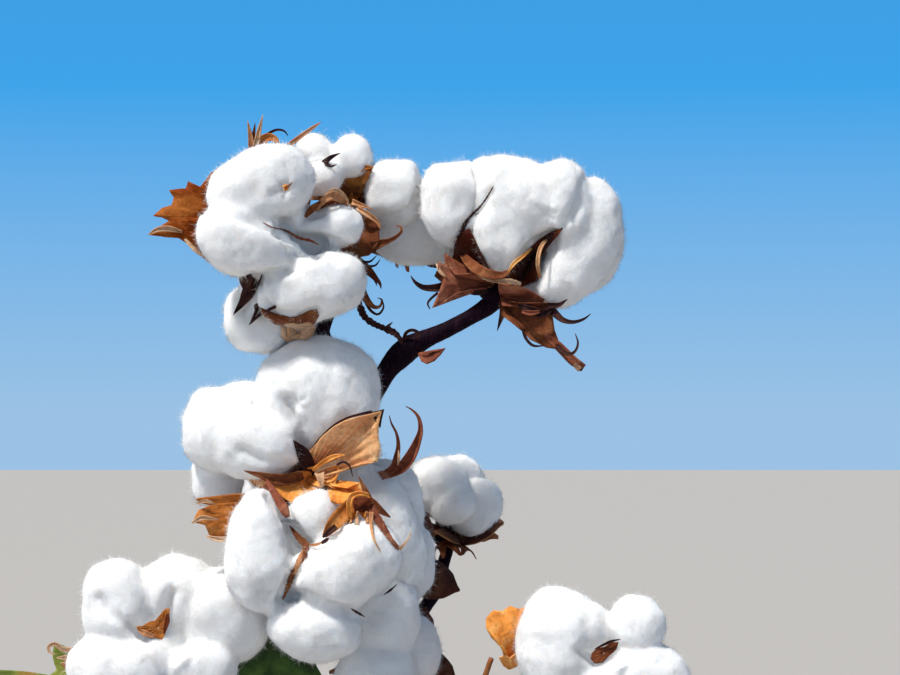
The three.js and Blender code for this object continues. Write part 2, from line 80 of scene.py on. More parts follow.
# base, axis, stalk line, valves, size, locks as in the solids: centre, half length,
# half width, half depth, turn clockwise from upright, bow, taper
BOLLS = {
    "crown_boll": dict(base=[-26.4, 10, 750], axis=[-0.15, -1, 0.1], stalk=[[-20, 19, 738]], valves=5, locks=[
        [-34.2, -22, 770, 21.5, 15.6, 15, 66, 0, 0], [-39.5, -27, 747.9, 20.8, 14.2, 14, 112, -1.6, 0],
        [-15.5, -21, 731.7, 22.0, 14.5, 14, 79, 1.6, 0], [-7.0, -11, 755.3, 12.6, 8.7, 10, 90, 0, 0],
        [-36, -2, 719.5, 14.0, 14.4, 13, 0, 0, 0], [-31, -10, 736, 14, 13, 12, 0, 0, 0], [-25, -12, 751, 15, 15, 11, 0, 0, 0]]),
    "upper_back_boll": dict(base=[-1.9, 18, 767], axis=[0, -0.3, 1], stalk=[[-11, 21, 715], [-4, 27, 740]], valves=4, size=0.55, locks=[
        [0.6, 8, 785.4, 8.9, 8.5, 9, 0, 0, 0], [-15.0, 12, 786.9, 8.4, 7.4, 8, 0, 0, 0],
        [-11.2, 4, 776.4, 8.6, 7.0, 8, 90, 0, 0], [-5.8, 20, 782.1, 10.6, 9.0, 10, 0, 0, 0]]),
    "middle_boll": dict(base=[26.0, 42, 763], axis=[0, -1, 0], stalk=[[24, 49, 763]], valves=4, locks=[
        [16.8, 12, 771.6, 13.7, 12.4, 12, 0, 0, 0], [27.0, 22, 753.3, 19.9, 11.0, 11, 95, 0, 0],
        [43.2, -2, 765, 18.2, 14.8, 14, -12, 0, 0.05], [28, 24, 766, 13, 13, 13, 0, 0, 0]]),
    "right_boll": dict(base=[58.9, 4, 731], axis=[0.18, -0.35, 0.93], stalk=[], valves=5, locks=[
        [63.3, -9, 760.4, 23.6, 15.0, 14, 8, 0, 0.14], [82.4, -11, 763.4, 18.1, 14.9, 14, -16, 0, 0.1],
        [93.2, -7, 747.6, 27.4, 13.6, 13, 22, -5.2, 0], [99.0, 8, 744, 16.5, 9.0, 11, 28, -2.4, 0],
        [67, 18, 764, 21.3, 17.2, 13, 0, 0, 0.2], [76, 8, 750, 13, 12, 10, 0, 0, 0], [73.5, -11, 766.2, 15.0, 12.5, 13, -4, 0, 0], [57.5, -5, 767.4, 17.0, 12.5, 12.5, -10, 0, 0],
        [73.4, -2, 731.8, 6.4, 4.8, 6, -35, 0, 0]]),
    "shaded_boll": dict(base=[-17.5, 12, 656.7], axis=[-0.3, -0.85, 0.35], stalk=[[-3, 21, 632], [-12, 22, 644]], valves=4, locks=[
        [-12.0, -9, 687.6, 24.4, 25.0, 17, 0, 0, 0.1], [-50.9, -10, 675.0, 17.4, 15.8, 15, 0, 0, 0],
        [-42.0, -5, 680.0, 13.6, 12.8, 12, 0, 0, 0], [-36.0, -18, 669.5, 18.4, 13.4, 12, 88, 0, 0],
        [-53.5, 2, 655.5, 10.5, 11.3, 10, 90, 0, 0], [-29, -6, 674, 15, 14, 12, 60, 0, 0]]),
    "front_boll": dict(base=[-15, 0, 620], axis=[0, -1, 0], stalk=[[-1, 22, 584], [-10, 14, 602]], valves=4, locks=[
        [-34.3, -31, 628.6, 24.0, 13.4, 14, -2, 1.2, 0], [-13.4, -25, 641.6, 10.9, 9.8, 11, 60, 0, 0],
        [-0.1, -33, 622.3, 22.4, 15.8, 15, 62, 0, 0], [-12.3, -30, 598.6, 19.4, 12.6, 13, 95, 0, 0],
        [-16, -22, 618, 17, 15, 10, 0, 0, 0]]),
    "side_boll": dict(base=[20, 36, 618], axis=[0.2, -1, 0], stalk=[[1, 22, 596], [12, 40, 606]], valves=4, locks=[
        [11.6, 4, 635.2, 29.3, 16.0, 15, -21, -1.6, 0], [15.6, 22, 645.3, 18.1, 14.0, 13, -20, 0, 0],
        [21.5, 20, 620.9, 16.4, 12.3, 12, 0, 0, 0]]),
    "lower_side_boll": dict(base=[20, 34, 581], axis=[0.1, -1, -0.1], stalk=[[2, 22, 556], [14, 40, 566]], valves=4, locks=[
        [11.0, 4, 602.0, 20.8, 17.6, 15, 0, 0, 0], [10.6, 0, 571.3, 20.8, 17.6, 16, 0, 0, 0],
        [22, 20, 584, 16.4, 13.4, 13, 0, 0, 0]]),
    "left_boll": dict(base=[-77.6, 14, 591], axis=[-0.05, -1, 0.05], stalk=[[-76, 22, 587]], valves=5, locks=[
        [-90.5, -17, 607.2, 18.5, 13.8, 15, 0, 0, 0], [-67.5, -12, 611.4, 15.4, 14.2, 14, 90, 0, 0],
        [-48.3, -13, 602.3, 18.9, 17.7, 15, 0, 0, 0], [-88.1, -22, 582.6, 21.1, 12.9, 14, 90, 0, 0],
        [-57.0, -20, 580.8, 14.0, 11.6, 12, 60, 0, 0], [-74, -10, 595, 15, 15, 10, 0, 0, 0]]),
    "far_right_boll": dict(base=[100.8, 14, 580], axis=[0, -1, 0.1], stalk=[[100, 23, 576]], valves=4, locks=[
        [83.6, -9, 590.9, 22.2, 17.4, 16, 0, 0, 0], [95.8, -15, 597.8, 10.2, 7.1, 8, 0, 0, 0],
        [113.0, -14, 597.8, 12.6, 12.0, 13, 0, 0, 0], [116.5, -17, 578, 17.3, 13.9, 14, 90, 0, 0],
        [92, -12, 571, 15, 13, 12, 60, 0, 0], [101, -9, 585, 14, 13, 9, 0, 0, 0]]),
    "rear_boll": dict(base=[39.1, 98, 629], axis=[0.05, -0.35, 0.94], stalk=[[39, 97, 624]], valves=4, locks=[
        [32.2, 86, 650.2, 15.6, 12.1, 13, 80, 0, 0], [51.5, 94, 641, 13.5, 10.6, 11, 30, 0, 0],
        [39.0, 108, 649.8, 16.8, 13.3, 13, 60, 0, 0], [42.0, 80, 642, 10.5, 7.9, 9, 70, 0, 0]]),
    "rear_low_boll": dict(base=[-20, 58, 652], axis=[-0.25, 0.95, 0.2], stalk=[[-3, 21, 616], [-14, 42, 634]], valves=4, grown=1),
    "back_left_boll": dict(base=[-73, 90, 536], axis=[-0.55, 0.75, 0.35], stalk=[[-70, 84, 531]], valves=5, grown=2),
    "back_right_boll": dict(base=[69, 93, 508], axis=[0.55, 0.78, 0.25], stalk=[[66, 86, 503]], valves=4, grown=3),
    "front_left_boll": dict(base=[-68, -64, 469], axis=[-0.62, -0.72, 0.3], stalk=[[-64, -58, 465]], valves=5, grown=4),
    "inner_left_boll": dict(base=[-44, 12, 470], axis=[-0.9, -0.1, 0.42], stalk=[[-34, -13, 421], [-40, 2, 448]], valves=4, grown=5),
    "front_right_boll": dict(base=[74, -64, 433], axis=[0.55, -0.8, 0.2], stalk=[[70, -58, 429]], valves=4, grown=6),
    "back_low_boll": dict(base=[-16, 114, 398], axis=[-0.1, 0.95, 0.3], stalk=[[-16, 108, 393]], valves=5, grown=7),
    "left_low_boll": dict(base=[-114, -11, 357], axis=[-0.92, -0.25, 0.3], stalk=[[-108, -10, 353]], valves=4, grown=8),
    "right_low_boll": dict(base=[121, 2, 318], axis=[0.95, -0.1, 0.25], stalk=[[116, 4, 315]], valves=5, grown=9),
    "inner_right_boll": dict(base=[62, -22, 318], axis=[0.35, -0.9, 0.25], stalk=[[48, 14, 268], [58, -8, 296]], valves=4, grown=10),
}
LEAVES = {
    "leaf_far_left": dict(petiole=[[-46, 28, 558], [-88, 10, 566]], foot=[-104, 2, 570], tip=[-0.86, -0.2, 0.12], side=[0.16, -0.35, -0.92], length=44, width=46, lobes=3),
    "leaf_front_left": dict(petiole=[[1, 21, 540], [-26, 4, 563]], foot=[-29, -2, 570], tip=[-0.16, -0.50, 0.80], side=[0.95, -0.1, 0.2], length=34, width=44, lobes=3),
    "leaf_dry_right": dict(petiole=[[22, 26, 517], [48, 8, 560]], foot=[56, 2, 582], tip=[0.25, -0.2, 0.95], side=[0.93, 0.3, -0.2], length=28, width=20, lobes=3),
    "leaf_low_right": dict(petiole=[[20, 10, 244], [52, 40, 232]], foot=[70, 56, 226], tip=[0.72, 0.62, -0.3], side=[-0.62, 0.78, 0.1], length=70, width=76, lobes=5),
    "leaf_low_left": dict(petiole=[[-22, 3, 292], [-50, -36, 296]], foot=[-62, -54, 292], tip=[-0.6, -0.74, -0.3], side=[0.76, -0.64, 0.05], length=66, width=74, lobes=5),
}
# Bracts of a boll: angle round the axis and opening from it in degrees, length, half spread
# of the fan in degrees, teeth, body share of the length, curl along it and curl of the
# teeth in radians, twist of the blade about its length in degrees, colour.
BRACTS = {
    "crown_boll": [[97, 86, 40, 34, 5, 0.70, 0.1, 0.3, 0, "orange"], [243, 96, 36, 26, 3, 0.70, 0.1, 0.4, 0, "brown"], [-38, 96, 40, 24, 4, 0.66, 0.2, 1.2, 0, "brown"]],
    "upper_back_boll": [[-80, 30, 18, 36, 4, 0.7, 0.3, 0.6, 0, "brown"], [40, 40, 20, 38, 4, 0.7, 0.3, 0.6, 0, "brown"], [165, 45, 22, 36, 4, 0.7, 0.3, 0.6, 0, "orange"]],
    "middle_boll": [[-12, 84, 36, 34, 5, 0.7, 0.3, 0.8, 0, "brown"], [-105, 86, 26, 34, 5, 0.7, 0.2, 0.8, 0, "brown"], [112, 86, 26, 34, 5, 0.7, 0.2, 0.8, 0, "orange"]],
    "right_boll": [[90, 80, 42, 44, 5, 0.7, -0.3, 1.0, 0, "brown"], [40, 96, 36, 34, 4, 0.7, -0.3, 1.2, 0, "rose"]],
    "shaded_boll": [[206, 96, 36, 36, 5, 0.74, 0.2, 0.5, 0, "brown"], [110, 90, 36, 36, 5, 0.74, 0.2, 0.5, 0, "brown"]],
    "front_boll": [[-30, 92, 38, 34, 4, 0.7, 0.3, 0.9, 0, "brown"], [215, 92, 34, 34, 5, 0.7, 0.2, 0.6, 0, "brown"], [150, 92, 32, 34, 5, 0.7, 0.2, 0.6, 0, "orange"]],
    "side_boll": [[195, 84, 34, 34, 5, 0.7, 0.2, 0.8, 0, "brown"], [100, 84, 34, 34, 5, 0.7, 0.2, 0.8, 0, "brown"], [-95, 86, 30, 34, 5, 0.7, 0.2, 0.8, 0, "brown"]],
    "lower_side_boll": [[192, 84, 36, 34, 5, 0.7, 0.2, 0.8, 0, "brown"], [-100, 84, 36, 34, 5, 0.7, 0.2, 0.8, 0, "brown"]],
    "left_boll": [[178, 92, 38, 38, 6, 0.72, 0.2, 0.7, 0, "orange"], [75, 90, 32, 36, 5, 0.7, 0.2, 0.8, 0, "brown"], [-60, 86, 38, 36, 5, 0.7, 0.2, 0.8, 0, "brown"]],
    "far_right_boll": [[150, 88, 36, 36, 5, 0.7, 0.2, 0.8, 0, "brown"], [35, 90, 32, 34, 5, 0.7, 0.2, 0.8, 0, "brown"], [-80, 84, 36, 34, 5, 0.7, 0.2, 0.8, 0, "orange"]],
    "rear_boll": [[-90, 70, 30, 38, 5, 0.7, 0.2, 0.8, 0, "brown"], [30, 70, 34, 38, 5, 0.7, 0.2, 0.8, 0, "brown"], [150, 70, 34, 38, 5, 0.7, 0.2, 0.8, 0, "rose"]],
}

# ---------------------------------------------------------------- noise and vectors
_perm = np.random.default_rng(11).permutation(256)
_perm = np.concatenate([_perm, _perm])
_grad = np.random.default_rng(12).normal(size=(256, 3))
_grad /= np.linalg.norm(_grad, axis=1)[:, None]


def noise(p):
    """Gradient noise of points (n, 3), about -0.7 to 0.7."""
    p = np.asarray(p, float)
    i = np.floor(p).astype(np.int64)
    f = p - i
    u = f * f * f * (f * (f * 6 - 15) + 10)
    i &= 255
    out = 0
    for dx in (0, 1):
        ax = _perm[(i[:, 0] + dx) & 255]
        wx = u[:, 0] if dx else 1 - u[:, 0]
        for dy in (0, 1):
            ay = _perm[(ax + i[:, 1] + dy) & 255]
            wy = u[:, 1] if dy else 1 - u[:, 1]
            for dz in (0, 1):
                g = _grad[_perm[(ay + i[:, 2] + dz) & 255]]
                wz = u[:, 2] if dz else 1 - u[:, 2]
                d = g[:, 0] * (f[:, 0] - dx) + g[:, 1] * (f[:, 1] - dy) + g[:, 2] * (f[:, 2] - dz)
                out = out + d * wx * wy * wz
    return out


def unit(v):
    v = np.asarray(v, float)
    return v / np.maximum(np.linalg.norm(v, axis=-1, keepdims=True), 1e-9)


def chance(a, b):
    s = math.sin(a * 127.1 + b * 311.7) * 43758.5453
    return s - math.floor(s)


def boll_frame(axis):
    a = unit(axis)
    r = unit(np.cross([0, 0, 1], a))
    return a, r, np.cross(a, r)


# ---------------------------------------------------------------- meshes
class Heap:
    """Vertices, quads and triangles of one piece, with a material number for each face."""

    def __init__(self):
        self.v, self.q, self.t, self.qm, self.tm, self.n, self.normals = [], [], [], [], [], 0, []

    def add(self, v, quads=None, tris=None, mat=0, normals=None):
        v = np.asarray(v, float).reshape(-1, 3)
        self.v.append(v)
        if normals is not None:
            self.normals.append(normals)
        if quads is not None and len(quads):
            quads = np.asarray(quads)
            self.q.append(quads + self.n)
            self.qm.append(np.broadcast_to(np.asarray(mat), (len(quads),)))
        if tris is not None and len(tris):
            tris = np.asarray(tris)
            self.t.append(tris + self.n)
            self.tm.append(np.broadcast_to(np.asarray(mat), (len(tris),)))
        self.n += len(v)

    def make(self, name, materials, slot=None, nodes=(), smooth=True):
        v = np.concatenate(self.v) * 0.001
        q = np.concatenate(self.q) if self.q else np.zeros((0, 4), int)
        t = np.concatenate(self.t) if self.t else np.zeros((0, 3), int)
        mat = np.concatenate([*self.qm, *self.tm]) if (self.qm or self.tm) else np.zeros(0, int)
        me = bpy.data.meshes.new(name)
        me.vertices.add(len(v))
        me.vertices.foreach_set("co", v.astype(np.float32).ravel())
        me.loops.add(q.size + t.size)
        me.loops.foreach_set("vertex_index", np.concatenate([q.ravel(), t.ravel()]).astype(np.int32))
        me.polygons.add(len(q) + len(t))
        starts = np.concatenate([np.arange(len(q)) * 4, q.size + np.arange(len(t)) * 3])
        me.polygons.foreach_set("loop_start", starts.astype(np.int32))
        for m in materials:
            me.materials.append(m)
        me.polygons.foreach_set("material_index", mat.astype(np.int32))
        me.polygons.foreach_set("use_smooth", np.full(len(q) + len(t), smooth))
        me.update(calc_edges=True)
        me.validate()
        if self.normals:
            me.normals_split_custom_set_from_vertices(np.concatenate(self.normals).astype(np.float32))
        ob = bpy.data.objects.new(name, me)
        scene.collection.objects.link(ob)
        return finish_piece(ob, nodes)


def finish_piece(ob, nodes):
    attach(ob, "root")
    if nodes:
        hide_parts(*nodes)
    return ob


def grid_faces(rows, cols, wrap=False):
    """Quads of a grid of rows by cols points."""
    i, j = np.meshgrid(np.arange(rows - 1), np.arange(cols if wrap else cols - 1), indexing="ij")
    a = i * cols + j
    b = i * cols + (j + 1) % cols
    return np.stack([a, b, b + cols, a + cols], -1).reshape(-1, 4)


def grid_normals(P):
    """Unit normals of a grid of points (rows, cols, 3)."""
    du = np.gradient(P, axis=0)
    dv = np.gradient(P, axis=1)
    return unit(np.cross(dv, du))


def add_sheet(heap, P, thick, mat=0, under=None):
    """A closed thin sheet about the grid P: upper side, under side and rim."""
    rows, cols = P.shape[:2]
    n = grid_normals(P)
    th = np.asarray(thick) * np.ones((rows, cols))
    top = (P + n * th[..., None] / 2).reshape(-1, 3)
    low = (P - n * th[..., None] / 2).reshape(-1, 3)
    f = grid_faces(rows, cols)
    k = rows * cols
    rim = np.concatenate([
        np.arange(cols), np.arange(1, rows) * cols + cols - 1,
        (rows - 1) * cols + np.arange(cols - 2, -1, -1), np.arange(rows - 2, 0, -1) * cols])
    after = np.roll(rim, -1)
    sides = np.stack([rim, after, after + k, rim + k], -1)
    low_mat = mat if under is None else under
    heap.add(np.concatenate([top, low]), np.concatenate([f[:, ::-1], f + k, sides]),
             mat=np.concatenate([np.full(len(f), mat), np.full(len(f), low_mat), np.full(len(sides), mat)]))


def curve_points(line, count):
    """Points along a centripetal Catmull-Rom line, evenly spaced."""
    p = [np.array(q, float) for q in line]
    if len(p) == 2:
        t = np.linspace(0, 1, count)[:, None]
        return p[0] * (1 - t) + p[1] * t
    p = [2 * p[0] - p[1]] + p + [2 * p[-1] - p[-2]]
    out = []
    for k in range(1, len(p) - 2):
        p0, p1, p2, p3 = p[k - 1:k + 3]
        d0, d1, d2 = (max(np.linalg.norm(b - a) ** 0.5, 1e-4) for a, b in ((p0, p1), (p1, p2), (p2, p3)))
        m1 = ((p1 - p0) / d0 - (p2 - p0) / (d0 + d1) + (p2 - p1) / d1) * d1
        m2 = ((p2 - p1) / d1 - (p3 - p1) / (d1 + d2) + (p3 - p2) / d2) * d1
        t = np.linspace(0, 1, 40, endpoint=k == len(p) - 3)[:, None]
        out.append((2 * t ** 3 - 3 * t ** 2 + 1) * p1 + (t ** 3 - 2 * t ** 2 + t) * m1
                   + (-2 * t ** 3 + 3 * t ** 2) * p2 + (t ** 3 - t ** 2) * m2)
    out = np.concatenate(out)
    s = np.concatenate([[0], np.cumsum(np.linalg.norm(np.diff(out, axis=0), axis=1))])
    at = np.linspace(0, s[-1], count)
    return np.stack([np.interp(at, s, out[:, i]) for i in range(3)], -1)


def frames_along(c, first=(1, 0, 0)):
    """Tangent and two sides at each point of a line, carried along without twist."""
    t = unit(np.gradient(c, axis=0))
    n = np.zeros_like(t)
    side = np.array(first, float)
    for k in range(len(c)):
        side = side - t[k] * (side @ t[k])
        side /= max(np.linalg.norm(side), 1e-9)
        n[k] = side
    return t, n, np.cross(t, n)


def add_tube(heap, c, radius, sides=16, relief=None, mat=0, cap=True):
    """A round limb along the points c; relief(angle, index, place) adds to the radius."""
    t, n, b = frames_along(c, (1, 0, 0) if abs(unit(c[-1] - c[0])[0]) < 0.9 else (0, 1, 0))
    ang = np.linspace(0, 2 * np.pi, sides, endpoint=False)
    out = np.cos(ang)[None, :, None] * n[:, None] + np.sin(ang)[None, :, None] * b[:, None]
    R = np.repeat(np.asarray(radius, float)[:, None], sides, 1)
    if relief is not None:
        R = R + relief(np.repeat(ang[None], len(c), 0), R, c[:, None] + out * R[..., None])
    P = c[:, None] + out * R[..., None]
    k = len(c)
    v = [P.reshape(-1, 3)]
    quads = grid_faces(k, sides, wrap=True)
    tris = None
    if cap:
        v += [c[:1], c[-1:]]
        j = np.arange(sides)
        tris = np.concatenate([np.stack([np.full(sides, k * sides), (j + 1) % sides, j], -1),
                               np.stack([np.full(sides, k * sides + 1), (k - 1) * sides + j, (k - 1) * sides + (j + 1) % sides], -1)])
    heap.add(np.concatenate(v), quads, tris, mat)


# ---------------------------------------------------------------- materials
def new_material(name, colour, rough=0.8, **more):
    m = bpy.data.materials.new(name)
    m.use_nodes = True
    nt = m.node_tree
    b = nt.nodes["Principled BSDF"]
    b.inputs["Base Color"].default_value = (*colour, 1)
    b.inputs["Roughness"].default_value = rough
    for k, v in more.items():
        b.inputs[k.replace("_", " ")].default_value = v
    return m, nt, b


def place_of(nt, scale=(1, 1, 1)):
    tc = nt.nodes.new("ShaderNodeTexCoord")
    mp = nt.nodes.new("ShaderNodeMapping")
    mp.inputs["Scale"].default_value = scale
    nt.links.new(tc.outputs["Object"], mp.inputs["Vector"])
    return mp.outputs["Vector"]


def noise_node(nt, vector, scale, detail=4, rough=0.55, distortion=0.0):
    n = nt.nodes.new("ShaderNodeTexNoise")
    n.inputs["Scale"].default_value = scale
    n.inputs["Detail"].default_value = detail
    n.inputs["Roughness"].default_value = rough
    n.inputs["Distortion"].default_value = distortion
    nt.links.new(vector, n.inputs["Vector"])
    return n.outputs["Fac"]


def ramp(nt, fac, stops):
    r = nt.nodes.new("ShaderNodeValToRGB")
    r.color_ramp.elements[0].position, r.color_ramp.elements[0].color = stops[0][0], (*stops[0][1], 1)
    r.color_ramp.elements[1].position, r.color_ramp.elements[1].color = stops[-1][0], (*stops[-1][1], 1)
    for p, c in stops[1:-1]:
        e = r.color_ramp.elements.new(p)
        e.color = (*c, 1)
    nt.links.new(fac, r.inputs["Fac"])
    return r.outputs["Color"]


def mixed(nt, fac, a, b, kind="MIX"):
    m = nt.nodes.new("ShaderNodeMix")
    m.data_type = "RGBA"
    m.blend_type = kind
    for socket, value in ((m.inputs[0], fac), (m.inputs[6], a), (m.inputs[7], b)):
        if isinstance(value, (int, float)):
            socket.default_value = value
        elif isinstance(value, tuple):
            socket.default_value = (*value, 1)
        else:
            nt.links.new(value, socket)
    return m.outputs[2]


def bump(nt, b, height, strength, distance, before=None):
    n = nt.nodes.new("ShaderNodeBump")
    n.inputs["Strength"].default_value = strength
    n.inputs["Distance"].default_value = distance
    nt.links.new(height, n.inputs["Height"])
    if before is not None:
        nt.links.new(before, n.inputs["Normal"])
    nt.links.new(n.outputs["Normal"], b.inputs["Normal"])
    return n.outputs["Normal"]


def lint_material():
    m, nt, b = new_material("lint", (0.93, 0.925, 0.915), 0.95)
    b.inputs["Specular IOR Level"].default_value = 0.12
    b.inputs["Subsurface Weight"].default_value = 0.8
    b.inputs["Subsurface Radius"].default_value = (1.0, 0.90, 0.82)
    b.inputs["Subsurface Scale"].default_value = 0.0050
    b.inputs["Sheen Weight"].default_value = 0.6
    b.inputs["Sheen Roughness"].default_value = 0.5
    v = place_of(nt)
    soft = noise_node(nt, v, 85, 5, 0.6, 0.8)
    c = ramp(nt, soft, [(0.28, (0.83, 0.82, 0.80)), (0.46, (0.92, 0.915, 0.905)), (0.7, (0.955, 0.953, 0.947))])
    nt.links.new(c, b.inputs["Base Color"])
    strands = noise_node(nt, v, 520, 6, 0.68, 3.0)
    n1 = bump(nt, b, strands, 0.55, 0.0008)
    wool = noise_node(nt, v, 210, 5, 0.62, 2.2)
    bump(nt, b, wool, 0.40, 0.0013, n1)
    return m


def fibre_material():
    m, nt, b = new_material("lint_fibre", (0.95, 0.948, 0.94), 0.9)
    b.inputs["Specular IOR Level"].default_value = 0.15
    b.inputs["Sheen Weight"].default_value = 0.3
    c = ramp(nt, noise_node(nt, place_of(nt), 60, 2), [(0.35, (0.93, 0.928, 0.92)), (0.65, (0.975, 0.973, 0.967))])
    nt.links.new(c, b.inputs["Base Color"])
    return m


def bract_material(name, dark, mid, light, sub=0.12):
    m, nt, b = new_material(name, mid, 0.62)
    b.inputs["Specular IOR Level"].default_value = 0.07
    b.inputs["Subsurface Weight"].default_value = sub
    b.inputs["Subsurface Radius"].default_value = (1.0, 0.45, 0.18)
    b.inputs["Subsurface Scale"].default_value = 0.0012
    v = place_of(nt)
    blot = noise_node(nt, v, 75, 6, 0.62, 0.8)
    base = ramp(nt, blot, [(0.30, dark), (0.50, mid), (0.72, light)])
    fine = noise_node(nt, v, 620, 4, 0.6, 0.4)
    shade = ramp(nt, fine, [(0.32, (0.62, 0.60, 0.58)), (0.55, (1, 1, 1)), (0.75, (1.12, 1.1, 1.06))])
    c = mixed(nt, 0.75, base, shade, "MULTIPLY")
    nt.links.new(c, b.inputs["Base Color"])
    rough = ramp(nt, noise_node(nt, v, 200, 3), [(0.3, (0.5, 0.5, 0.5)), (0.7, (0.78, 0.78, 0.78))])
    nt.links.new(rough, b.inputs["Roughness"])
    n1 = bump(nt, b, noise_node(nt, v, 950, 4, 0.6), 0.45, 0.0004)
    bump(nt, b, noise_node(nt, v, 240, 4, 0.6, 1.0), 0.5, 0.0010, n1)
    return m


def bark_material(name, dark, mid, light, scale=1.0):
    m, nt, b = new_material(name, mid, 0.6)
    b.inputs["Specular IOR Level"].default_value = 0.05
    v = place_of(nt)
    long = place_of(nt, (1, 1, 0.22))
    grain = noise_node(nt, long, 420 * scale, 6, 0.62, 0.5)
    base = ramp(nt, grain, [(0.30, dark), (0.52, mid), (0.74, light)])
    patch = noise_node(nt, v, 45, 4, 0.6)
    tone = ramp(nt, patch, [(0.32, (0.62, 0.6, 0.62)), (0.6, (1.05, 1.0, 0.98)), (0.8, (1.25, 1.15, 1.05))])
    c = mixed(nt, 0.8, base, tone, "MULTIPLY")
    specks = ramp(nt, noise_node(nt, v, 700, 2, 0.5), [(0.66, (0, 0, 0)), (0.74, (1, 1, 1))])
    c = mixed(nt, specks, c, light)
    nt.links.new(c, b.inputs["Base Color"])
    rough = ramp(nt, grain, [(0.3, (0.58, 0.58, 0.58)), (0.7, (0.84, 0.84, 0.84))])
    nt.links.new(rough, b.inputs["Roughness"])
    n1 = bump(nt, b, noise_node(nt, v, 1500, 4, 0.6), 0.35, 0.0003)
    bump(nt, b, grain, 0.6, 0.0008, n1)
    return m


def leaf_material(name, dark, mid, light):
    m, nt, b = new_material(name, mid, 0.5)
    b.inputs["Specular IOR Level"].default_value = 0.2
    b.inputs["Subsurface Weight"].default_value = 0.15
    b.inputs["Subsurface Radius"].default_value = (0.5, 1.0, 0.2)
    b.inputs["Subsurface Scale"].default_value = 0.001
    v = place_of(nt)
    c = ramp(nt, noise_node(nt, v, 55, 5, 0.6, 0.7), [(0.3, dark), (0.5, mid), (0.7, light)])
    fine = ramp(nt, noise_node(nt, v, 700, 3, 0.6), [(0.35, (0.75, 0.76, 0.7)), (0.6, (1, 1, 1))])
    nt.links.new(mixed(nt, 0.7, c, fine, "MULTIPLY"), b.inputs["Base Color"])
    n1 = bump(nt, b, noise_node(nt, v, 1100, 3, 0.6), 0.35, 0.0003)
    bump(nt, b, noise_node(nt, v, 260, 4, 0.6, 0.6), 0.4, 0.0008, n1)
    return m


LINT = lint_material()
FIBRE = fibre_material()
BRACT = {
    "tan": bract_material("bract_tan", (0.35, 0.150, 0.072), (0.52, 0.245, 0.115), (0.70, 0.42, 0.22), 0.15),
    # amber is brighter than the bracts' own orange: partly painted light, for sun shining through the thin bracts
    "amber": bract_material("bract_amber", (0.54, 0.170, 0.026), (0.82, 0.315, 0.066), (0.93, 0.56, 0.22), 0.24),
    "orange": bract_material("bract_orange", (0.21, 0.058, 0.011), (0.43, 0.142, 0.029), (0.62, 0.28, 0.080), 0.18),
    "russet": bract_material("bract_russet", (0.11, 0.019, 0.002), (0.225, 0.045, 0.004), (0.38, 0.122, 0.022), 0.18),
    "brown": bract_material("bract_brown", (0.082, 0.021, 0.009), (0.172, 0.051, 0.019), (0.34, 0.145, 0.060), 0.1),
    "dark": bract_material("bract_dark", (0.016, 0.006, 0.007), (0.042, 0.015, 0.014), (0.10, 0.042, 0.030), 0.02),
    "maroon": bract_material("bract_maroon", (0.042, 0.007, 0.003), (0.11, 0.022, 0.008), (0.24, 0.075, 0.030), 0.06),
    # honey is brighter than the valve's own tan: partly painted light, for sun shining through the valve's foot
    "honey": bract_material("bract_honey", (0.50, 0.235, 0.105), (0.76, 0.395, 0.180), (0.92, 0.64, 0.37), 0.25),
    "wine": bract_material("bract_wine", (0.024, 0.003, 0.001), (0.058, 0.009, 0.003), (0.13, 0.034, 0.012), 0.04),
    "rose": bract_material("bract_rose", (0.115, 0.031, 0.017), (0.25, 0.075, 0.040), (0.44, 0.195, 0.115), 0.1),
    "straw": bract_material("bract_straw", (0.33, 0.175, 0.095), (0.56, 0.34, 0.20), (0.79, 0.60, 0.43), 0.15),
}
VALVE_OUT = bract_material("valve_outside", (0.030, 0.011, 0.009), (0.085, 0.028, 0.018), (0.22, 0.10, 0.05), 0.03)
VALVE_IN = bract_material("valve_lining", (0.13, 0.05, 0.022), (0.30, 0.14, 0.065), (0.56, 0.33, 0.18), 0.1)
STEM_BARK = bark_material("stem_bark", (0.045, 0.022, 0.022), (0.115, 0.062, 0.055), (0.27, 0.18, 0.14))
# the young wood at the top of the stem is as dark as the branches
nt = STEM_BARK.node_tree
shader = next(n for n in nt.nodes if n.type == "BSDF_PRINCIPLED")
height = nt.nodes.new("ShaderNodeSeparateXYZ")
nt.links.new(place_of(nt), height.inputs[0])
young = ramp(nt, height.outputs["Z"], [(0.46, (0, 0, 0)), (0.60, (0.45, 0.45, 0.45)), (0.68, (0.94, 0.94, 0.94))])
nt.links.new(mixed(nt, young, shader.inputs["Base Color"].links[0].from_socket, (0.0080, 0.0020, 0.0075)), shader.inputs["Base Color"])
BRANCH_BARK = bark_material("branch_bark", (0.0040, 0.0011, 0.0042), (0.0095, 0.0026, 0.0082), (0.030, 0.0105, 0.022), 1.3)
HAIR, _, _b = new_material("plant_hair", (0.12, 0.055, 0.10), 0.8)
LEAF = {
    # the green tone is darker than the leaf's own green: partly painted shade, for leaves that hang in shadow
    "green": leaf_material("leaf_green", (0.006, 0.019, 0.002), (0.018, 0.055, 0.006), (0.085, 0.17, 0.022)),
    "yellow": leaf_material("leaf_yellow", (0.10, 0.15, 0.025), (0.24, 0.26, 0.045), (0.42, 0.17, 0.05)),
    "red": leaf_material("leaf_red", (0.11, 0.02, 0.012), (0.27, 0.06, 0.025), (0.38, 0.22, 0.05)),
    "dry": BRACT["amber"],
}


